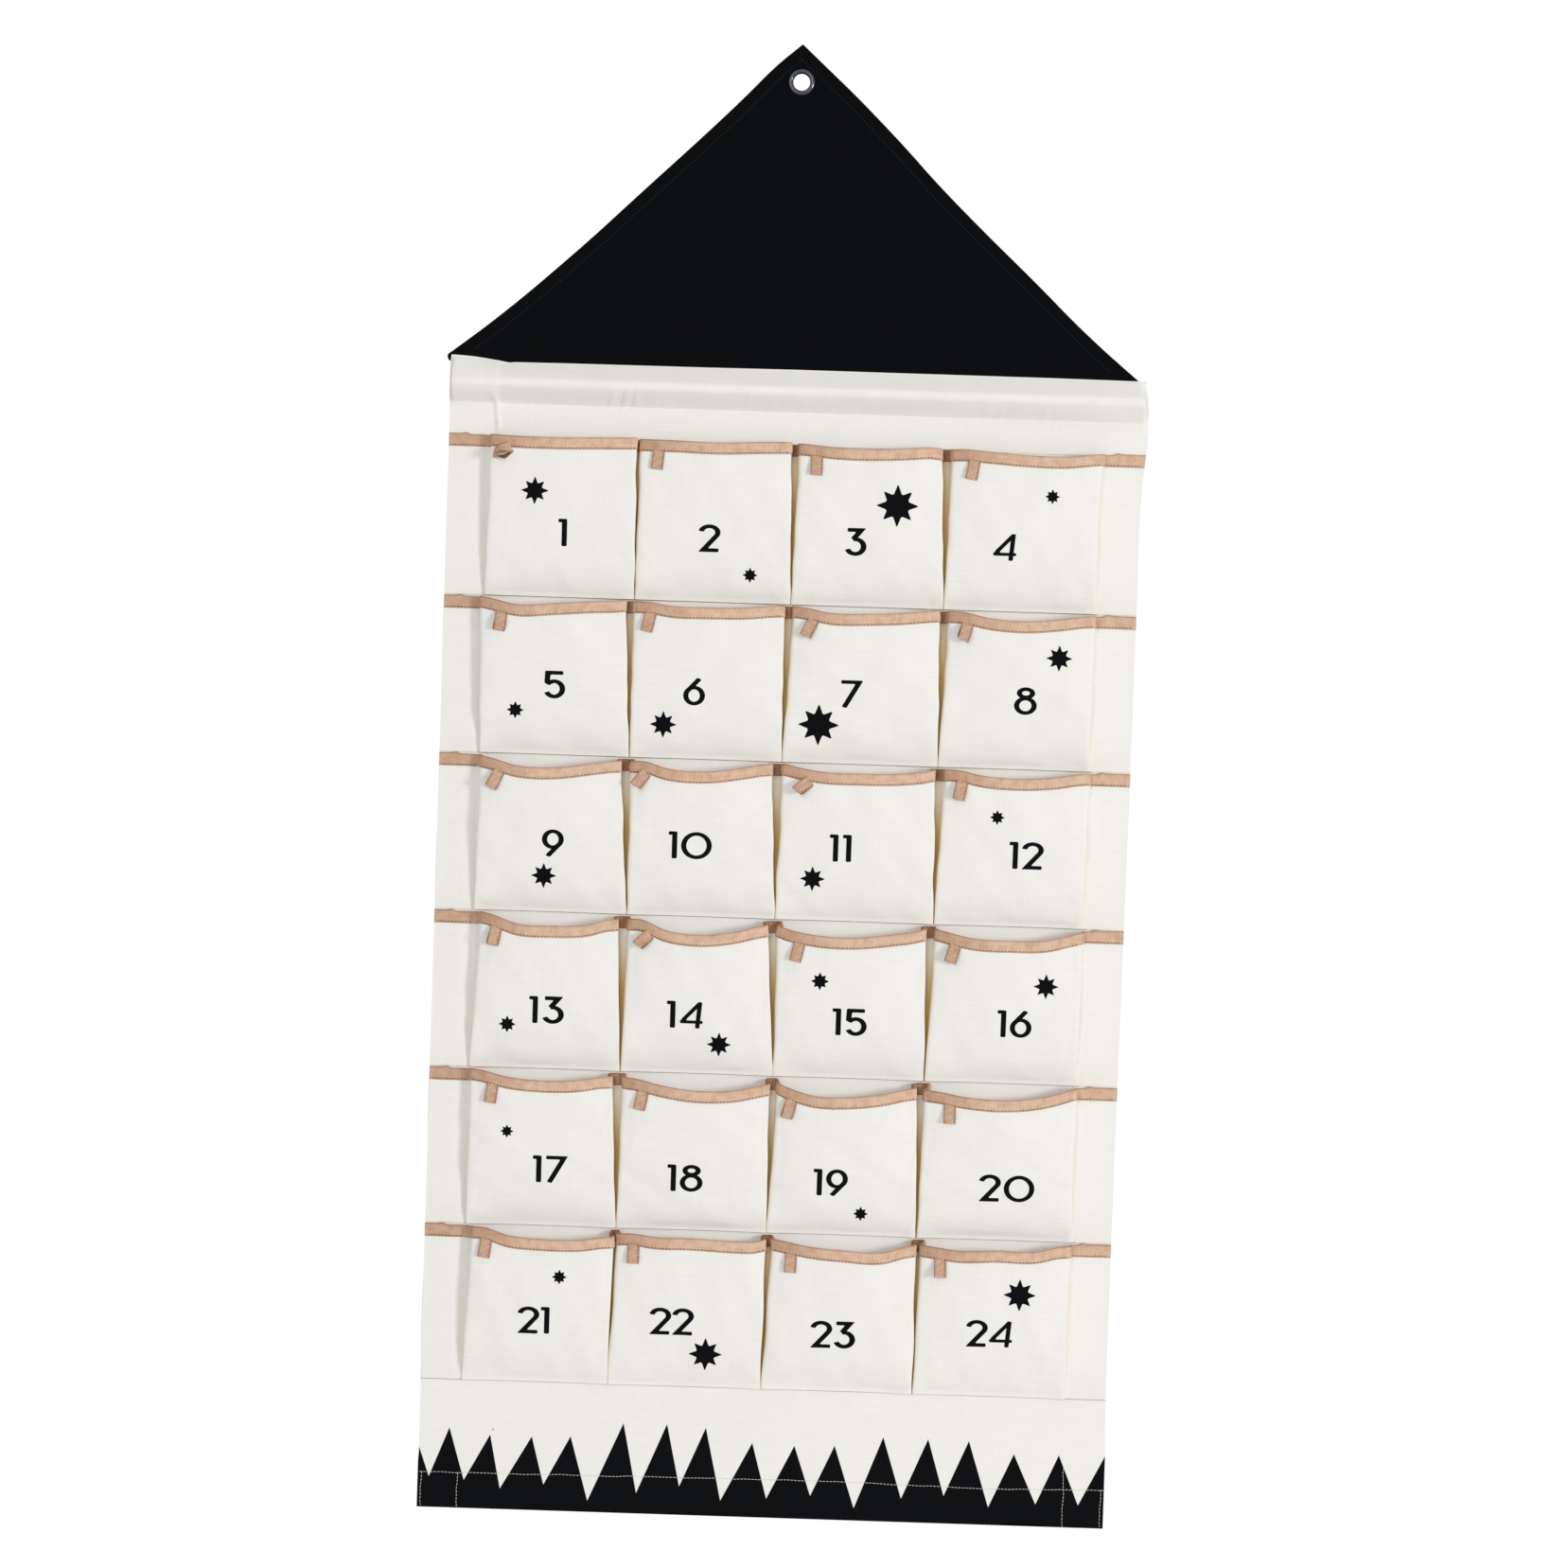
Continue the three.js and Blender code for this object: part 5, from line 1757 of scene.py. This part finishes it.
    def foot_hem(self) -> None:
        """The printed foot, turned up behind: a thin skin along a profile of (y, z)."""
        foot, hem = SIZES.foot, SIZES.bottom_hem
        outer = rounded(np.array([
            (-1.96, foot + 1.5), (-1.96, foot - 0.25), (-1.0, foot - 0.35), (-0.02, foot - 0.25),
            (-0.02, foot + 4.0), (-0.02, foot + hem * 0.5), (-0.05, foot + hem),
        ]), 2)
        way = unit(np.gradient(outer, axis=0))
        inner = outer + self.foot_hem_thickness * np.stack([-way[:, 1], way[:, 0]], axis=1)
        behind = (outer[:, 1] > foot + 1.0) & (outer[:, 0] > -0.5)
        inner[behind, 0] = -0.85
        x = np.linspace(SIZES.panel_left + 0.1, SIZES.panel_right - 0.1, 60)
        grids = []
        for profile in (outer, inner):
            across, z = np.meshgrid(x, profile[:, 1])
            y = np.broadcast_to(profile[:, :1], z.shape)
            grids.append(np.stack([across + edge_drift(across, z), y, z], axis=-1))
        piece = add_shell("bottom_hem", grids[0], grids[1], grids[0][..., [0, 2]])
        dress(piece, self.finishes.ink, Slot.BLACK, Body.PANEL.value)


@dataclass
class RodSleeve:
    """The canvas over the rod, which runs on down to the first row's binding.

    It is tight over the rod and slack at its left end, which the rod doesn't reach. Under
    the rod it is puckered, fuller towards the right, with one upright crease at its left.
    Swells are given by their height, their place and their reach.
    """

    finishes: Finishes
    clearance: float = 0.35
    depth: float = 35.5
    step: float = 0.8
    arc_points: int = 12
    columns: int = 440

    # Swells of the slack end, at heights over the rod's middle.
    SLACK = ((2.2, -10.0, 8.0), (1.6, 11.0, 7.0))
    # Where across the sleeve it is puckered.
    PUCKERED = ((1.0, -138.0, 19.0), (0.25, -20.0, 60.0), (0.25, 190.0, 50.0))
    # The crease's ridge and hollow, across from its line.
    CREASE = ((2.0, -1.6, 1.7), (-0.8, 1.4, 2.0))

    def build(self) -> None:
        """Builds the sleeve: its profile carried along the panel, with its folds."""
        rod_low, rod_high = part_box("rod")
        radius = (rod_high.z - rod_low.z) / 2 / MM
        rod = (rod_high.y + rod_low.y) / 2 / MM, (rod_high.z + rod_low.z) / 2 / MM
        profile = self.profile(rod, radius + self.clearance)
        points, painted_under_rod_shade = self.cloth(profile, rod[1])
        normal = np.cross(np.gradient(points, axis=1), np.gradient(points, axis=0))
        outside = points + unit(normal) * SIZES.cloth * np.sign(-normal[..., 1:2] + 1e-9)
        along = lengths(profile)
        down = np.broadcast_to(-along[:, None], points.shape[:2])
        piece = add_shell("sleeve_cloth", outside, points, np.stack([points[..., 0], down], axis=-1))
        mark(piece, "pleat", painted_under_rod_shade)
        dress(piece, self.finishes.canvas, Slot.CANVAS, Body.PANEL.value)
        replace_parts(piece, "rod_sleeve")

    def profile(self, rod: Pair, clear: float) -> Array:
        """The sleeve's inner side as a path in y and z, from the gable's seam down.

        Args:
            rod: Y and Z of the rod's middle.
            clear: How far from the rod's middle the cloth passes.

        Returns:
            Points on the panel, on the two tangents from it to a circle about the rod, on
            an arc of that circle and on the panel again, with their corners cut.
        """
        flat, head, low = SIZES.front, SIZES.head, SIZES.head - self.depth
        rod_y, rod_z = rod
        away = flat - rod_y

        def tangent(rise: float) -> float:
            return math.pi - math.atan2(rise, away) - math.acos(clear / math.hypot(rise, away))

        first, last = tangent(head - self.step - rod_z), -tangent(rod_z - low)
        angles = np.linspace(first, last, self.arc_points)
        outer = clear / math.cos((first - last) / (2 * self.arc_points - 2))
        over = np.stack([rod_y - outer * np.cos(angles), rod_z + outer * np.sin(angles)], axis=1)
        heights = (low, low - 2, *(SIZES.row_top(0) + above for above in (22, 11, 0.4)))
        ends = [(flat, z) for z in heights]
        return rounded(np.concatenate([[(flat, head), (flat, head - self.step)], over, ends]), 2)

    def cloth(self, profile: Array, rod_z: float) -> tuple[Array, Array]:
        """Inner side of the sleeve's cloth, with its folds, and how much painted warm shade it takes on under
        the rod.

        Args:
            profile: The path that profile gave.
            rod_z: Z of the rod's middle.

        Returns:
            Grid of (x, y, z) and grid of shares of painted shade: one row for each of the profile's points.
        """
        flat, head, low = SIZES.front, SIZES.head, SIZES.head - self.depth
        x = np.linspace(SIZES.panel_left, SIZES.panel_right, self.columns)
        left, right = x - SIZES.panel_left, SIZES.panel_right - x
        held = smoothstep(left, 0.2, 2.6) * smoothstep(right, 0.3, 4.0)
        y = flat + (profile[:, :1] - flat) * held
        z = np.tile(profile[:, 1:], len(x))
        z = z - seam_dip(x) * np.clip((z - rod_z - 9) / (head - rod_z - 9), 0, 1)
        slack = held * (1 - smoothstep(left, 40, 47))
        y = y - slack * swells(z - rod_z, self.SLACK)
        uneven = 1 + np.clip(ripple(x + 0 * z, z, 31, 60.0), -1, 1)
        y = y - held * bump(z, rod_z, 11.0) * 0.25 * uneven
        ridges = ripple(x - 0.35 * (z - low), 0 * z, 32, 9.0, 4)
        y = y - 2.2 * bump(z, low + 6, 7.0) * swells(x, self.PUCKERED) * np.clip(ridges, 0, 1)
        y = y - 2.4 * smoothstep(x, 60, 290) * bump(z, low + 2, 8.0) * held
        y = y - self.crease_fade(z) * swells(x - self.crease_line(z), self.CREASE)
        points = np.stack([x + edge_drift(x, z), np.minimum(y, flat), z], axis=-1)
        # Painted warm shade in a band under the rod, where the cloth turns down.
        return points, 0.07 * bump(z, low + 5, 6.0)

    def crease_line(self, z: Array) -> Array:
        """X of the upright crease: it leans to the right downwards, and hooks left on top."""
        low = SIZES.head - self.depth
        return SIZES.panel_left + 43.5 + 0.10 * (low - z) - 5.0 * smoothstep(z, low - 1, low + 12)

    def crease_fade(self, z: Array) -> Array:
        """How strong the crease is: it fades in under the rod and out at the binding."""
        low, binding = SIZES.head - self.depth, SIZES.row_top(0)
        starts = smoothstep(-z, -(low + 12), -(low + 4))
        return starts * (1 - smoothstep(-z, -binding - 14, -binding))


# Gable and eyelet


# Places along the gable's two slanting edges, from its left corner over its tip to its right.
GABLE_LEFT = (
    (479, 370), (520, 340), (557.5, 310), (592.5, 280), (627, 250), (659.5, 220), (692.5, 190), (726, 160),
    (758.5, 130), (790, 100), (819.5, 70),
)
GABLE_RIGHT = (
    (872.5, 70), (903.5, 100), (932.5, 130), (960.5, 160), (987, 190), (1015.5, 220), (1045, 250),
    (1075.5, 280), (1105.5, 310), (1134.5, 340), (1166, 370), (1183, 385),
)


@dataclass
class Gable:
    """The black canvas triangle with its hems and its seams.

    The cut share is what its bowed edges and its corners leave of a triangle. A cream
    corner of the panel shows at its right.
    """

    finishes: Finishes
    width: float = 600.0
    height: float = 280.0
    cut_share: float = 0.97
    tip: float = 32.6
    cream_corner: float = 5.5
    hem_width: float = 11.5
    hole_radius: float = 7.5
    stitch: Stitch = Stitch(length=2.2, radius=0.2)
    left: Array = field(init=False)
    right: Array = field(init=False)

    # The cloth's left corner, turned under: places from the panel's upper left corner.
    CORNER = ((1.2, -2.0), (-0.8, -0.8), (-2.0, 1.6), (-1.8, 4.0))

    def __post_init__(self) -> None:
        """Works out the two slanting edges."""
        tip, start = (0, self.tip), (SIZES.panel_left - 0.6, SIZES.head + 5.2)
        self.left = self.slanting(start, GABLE_LEFT, tip)
        self.right = self.slanting(tip, GABLE_RIGHT, (self.foot_right, SIZES.head))

    @property
    def foot_right(self) -> float:
        """X of the gable's right end, short of the panel's cream corner."""
        return SIZES.panel_right - self.cream_corner

    @staticmethod
    def slanting(start: Pair, pixels: tuple[Pair, ...],
                 end: Pair) -> Array:
        """Edge from a start to an end through places of the photograph, corners cut."""
        return rounded(np.concatenate([[start], PHOTO.on_plane(np.array(pixels), SIZES.front), [end]]), 2)

    def front_y(self, x: Array, z: Array) -> Array:
        """Y of the gable's front, with slow ripples that fade at the eyelet and the seam."""
        calm = smoothstep(np.hypot(x, z), 14, 60) * smoothstep(z, SIZES.head, SIZES.head + 30)
        return SIZES.front - 0.5 * calm * ripple(x, z, 2, 230.0)

    def outline(self) -> Array:
        """The cut: both slanting edges, the seam from right to left and the left corner."""
        along = [max(place, 1.4) for place, _ in SEAM_DIPS[-2::-1]]
        foot_x = np.array([self.foot_right, *(SIZES.panel_left + place for place in along)])
        base = np.stack([foot_x, SIZES.head - seam_dip(foot_x)], axis=1)
        corner = np.array(self.CORNER) + (SIZES.panel_left, SIZES.head)
        return np.concatenate([self.left[1:], self.right[1:-1], base, corner])

    def build(self) -> None:
        """Builds the gable's cloth, its two hems and their stitches."""
        angles = np.radians(np.arange(0, 360, 10))
        hole = self.hole_radius * np.stack([np.cos(angles), np.sin(angles)], axis=1)
        cloth = add_cut("gable_cloth", [self.outline()], [hole], 7.0, self.front_y,
                        lambda x, z: self.front_y(x, z) + SIZES.cloth)
        dress(cloth, self.finishes.black, Slot.BLACK, Body.GABLE.value)
        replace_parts(cloth, "gable")
        for name, edge, side in (("left_gable_hem", self.left, -1), ("right_gable_hem", self.right, 1)):
            dress(self.hem(name, edge, side), self.finishes.black, Slot.BLACK, Body.GABLE.value)
        runs = [self.seam(self.left), self.seam(self.right)]
        dress(add_stitches("gable_stitches", runs), self.finishes.grey_thread, Slot.BLACK, Body.GABLE.value)

    @staticmethod
    def moved_in(edge: Array, distance: float) -> Array:
        """An edge moved into the gable by a distance, square to itself."""
        way = unit(np.gradient(edge, axis=0))
        return edge + distance * np.stack([way[:, 1], -way[:, 0]], axis=1)

    def hem(self, name: str, edge: Array, side: int) -> Piece:
        """Cloth turned in behind a slanting edge.

        Args:
            name: The piece's name.
            edge: The edge.
            side: -1 for the left edge, 1 for the right.

        Returns:
            A strip from the edge inwards, cut square so that the two strips don't cross
            at the tip, and pressed thin under the eyelet's washer.
        """
        shares = np.linspace(0.0, 1.0, 5)[:, None, None]
        outer, inner = self.moved_in(edge, 0.4), self.moved_in(edge, self.hem_width)
        grid = outer[None] * (1 - shares) + inner[None] * shares
        x = side * np.maximum(side * grid[..., 0], 0.2)
        z = np.maximum(grid[..., 1], SIZES.head + 0.5)
        near = self.front_y(x, z) + SIZES.cloth
        off_washer = smoothstep(np.hypot(x, z), 11.8, 12.6)
        far = near + 0.05 + (SIZES.cloth - 0.12) * off_washer
        return add_shell(name, np.stack([x, near, z], axis=-1), np.stack([x, far, z], axis=-1),
                         np.stack([x, z], axis=-1))

    def seam(self, edge: Array) -> Array:
        """Stitches along an edge's hem, which end clear of the panel's seam."""
        line = self.moved_in(edge, 10.2)[2:-2]
        line = line[line[:, 1] > SIZES.head + 7]
        path = np.stack([line[:, 0], self.front_y(line[:, 0], line[:, 1]), line[:, 1]], axis=1)
        return stitch_points(path, facing_front(len(path)), self.stitch)


@dataclass
class Eyelet:
    """Eyelet and its washer: closed profiles of (radius, y) turned about the Y axis."""

    finishes: Finishes
    step_deg: float = 5.0

    BARREL = (
        (11.5, -1.8), (11.45, -2.35), (10.9, -3.05), (9.9, -3.55), (9.2, -3.6), (8.4, -3.3),
        (7.9, -2.7), (7.55, -2.25), (7.25, -1.9), (7.15, -1.2), (7.15, -0.6), (7.25, -0.1),
        (7.6, 0.0), (9.1, 0.0), (9.35, -0.1), (9.3, -0.26), (7.6, -0.3), (7.55, -1.2), (7.6, -1.78),
        (8.4, -1.78), (11.2, -1.78), (11.5, -1.8),
    )
    WASHER = (
        (11.3, -0.88), (11.3, -0.5), (11.1, -0.32), (10.0, -0.31), (7.9, -0.31), (7.86, -0.6),
        (7.86, -0.89), (9.5, -0.89), (11.3, -0.88),
    )

    def build(self) -> None:
        """Turns and dresses both rings."""
        self.turned("eyelet_barrel", rounded(np.array(self.BARREL), 2), "eyelet_ring")
        self.turned("eyelet_backing", rounded(np.array(self.WASHER), 1), "eyelet_washer")

    def turned(self, name: str, profile: Array, node: str) -> None:
        """Makes one ring and puts it in place of its solid.

        Args:
            name: The piece's name.
            profile: Closed profile, whose last point is its first.
            node: The solid that it stands for.
        """
        angles = np.radians(np.arange(0, 360, self.step_deg))[:, None]
        radius, y = profile[:-1].T
        points = np.stack(np.broadcast_arrays(radius * np.cos(angles), y, radius * np.sin(angles)), axis=-1)
        piece = add_mesh(name, points.reshape(-1, 3), torus_faces(*points.shape[:2]), sharp_deg=60.0)
        dress(piece, self.finishes.nickel, Slot.NICKEL, Body.GABLE.value)
        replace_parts(piece, node)


# Studio


@dataclass(frozen=True)
class Lamp:
    """Square lamp: its power in watts, and its side and place in metres."""

    name: str
    watts: float
    size: float
    place: tuple[float, float, float]

    def make(self, aim: tuple[float, float, float]) -> None:
        """Adds the lamp, facing the aim."""
        data = bpy.data.lights.new(self.name, "AREA")
        data.energy, data.size = self.watts, self.size
        lamp = bpy.data.objects.new(self.name, data)
        lamp.location = self.place
        lamp.rotation_euler = (Vector(aim) - Vector(self.place)).to_track_quat("-Z", "Y").to_euler()
        bpy.context.scene.collection.objects.link(lamp)


@dataclass(frozen=True)
class Studio:
    """White studio: an even sky, soft lamps from the right and from above, a pale floor."""

    sky: float = 0.497
    aim: tuple[float, float, float] = (0.0, 0.0, -0.6)
    lamps: tuple[Lamp, ...] = (
        Lamp("key_lamp", 160.0, 1.4, (4.9, -4.1, -0.45)),
        Lamp("fill_lamp", 62.0, 2.0, (-1.3, -4.9, 0.75)),
    )
    floor_z: float = -1700.0
    floor_radius: float = 1300.0

    def build(self) -> None:
        """Adds the sky, the lamps and the floor, and sets the plain view transform."""
        self.sky_light()
        for lamp in self.lamps:
            lamp.make(self.aim)
        self.floor()
        bpy.context.scene.view_settings.view_transform = "Standard"

    def sky_light(self) -> None:
        """World that lights evenly and looks white to the camera and in metal."""
        world = bpy.data.worlds.new("studio_sky")
        bpy.context.scene.world = world
        world.use_nodes = True
        tree = world.node_tree
        tree.nodes.clear()
        ray = add_node(tree, "ShaderNodeLightPath")
        seen = add_node(tree, "ShaderNodeMath", {
            0: ray.outputs["Is Camera Ray"], 1: ray.outputs["Is Glossy Ray"],
        }, operation="MAXIMUM")
        shown = add_node(tree, "ShaderNodeMath", {
            0: seen.outputs[0], 1: ray.outputs["Is Transmission Ray"],
        }, operation="MAXIMUM")
        light = add_node(tree, "ShaderNodeBackground", {"Color": (1, 1, 1, 1), "Strength": self.sky})
        white = add_node(tree, "ShaderNodeBackground", {"Color": (1, 1, 1, 1), "Strength": 1.0})
        both = add_node(tree, "ShaderNodeMixShader", {
            0: shown.outputs[0], 1: light.outputs[0], 2: white.outputs[0],
        })
        output = add_node(tree, "ShaderNodeOutputWorld")
        tree.links.new(both.outputs[0], output.inputs["Surface"])

    def floor(self) -> None:
        """Pale floor under the hanging: a round slab with a soft grain in its paint."""
        angles = np.radians(np.arange(0, 360, 5))
        profile = np.array([(1.0, 0), (self.floor_radius, 0), (self.floor_radius, -20), (1.0, -20)])
        radius, z = profile[:, :1], self.floor_z + profile[:, 1:]
        points = np.stack(np.broadcast_arrays(radius * np.cos(angles), radius * np.sin(angles), z), axis=-1)
        slab = add_mesh("studio_floor", points.reshape(-1, 3), torus_faces(*points.shape[:2]))
        material, tree, output = new_material("pale_floor_paint")
        place = add_node(tree, "ShaderNodeTexCoord").outputs["Object"]
        grain = add_node(tree, "ShaderNodeTexNoise", {"Vector": place, "Scale": 6.0, "Detail": 2.0})
        tint = add_node(tree, "ShaderNodeMix", {
            0: grain.outputs["Fac"], 6: linear("#F4F4F3"), 7: linear("#EFEFEE"),
        }, data_type="RGBA")
        surface = add_node(tree, "ShaderNodeBsdfPrincipled", {
            "Base Color": tint.outputs[2], "Roughness": 0.9,
        })
        tree.links.new(surface.outputs["BSDF"], output.inputs["Surface"])
        slab.data.materials.append(material)


# Whole


def main() -> None:
    """Builds the hanging, dresses it and lights it."""
    logging.basicConfig(level=logging.INFO, format="%(name)s: %(message)s")
    finishes = Finishes()
    PHOTO.make()
    Studio().build()
    for part in (Gable(finishes), Eyelet(finishes), BackPanel(finishes), RodSleeve(finishes)):
        part.build()
    for row in range(ROWS):
        PocketRow(row, finishes).build()
    for pocket in POCKETS:
        HangingLoop(pocket, finishes).build()
    rod = frame["nodes"]["rod"]
    rod.data.materials.clear()
    rod.data.materials.append(finishes.birch)


if __name__ == "__main__":
    main()
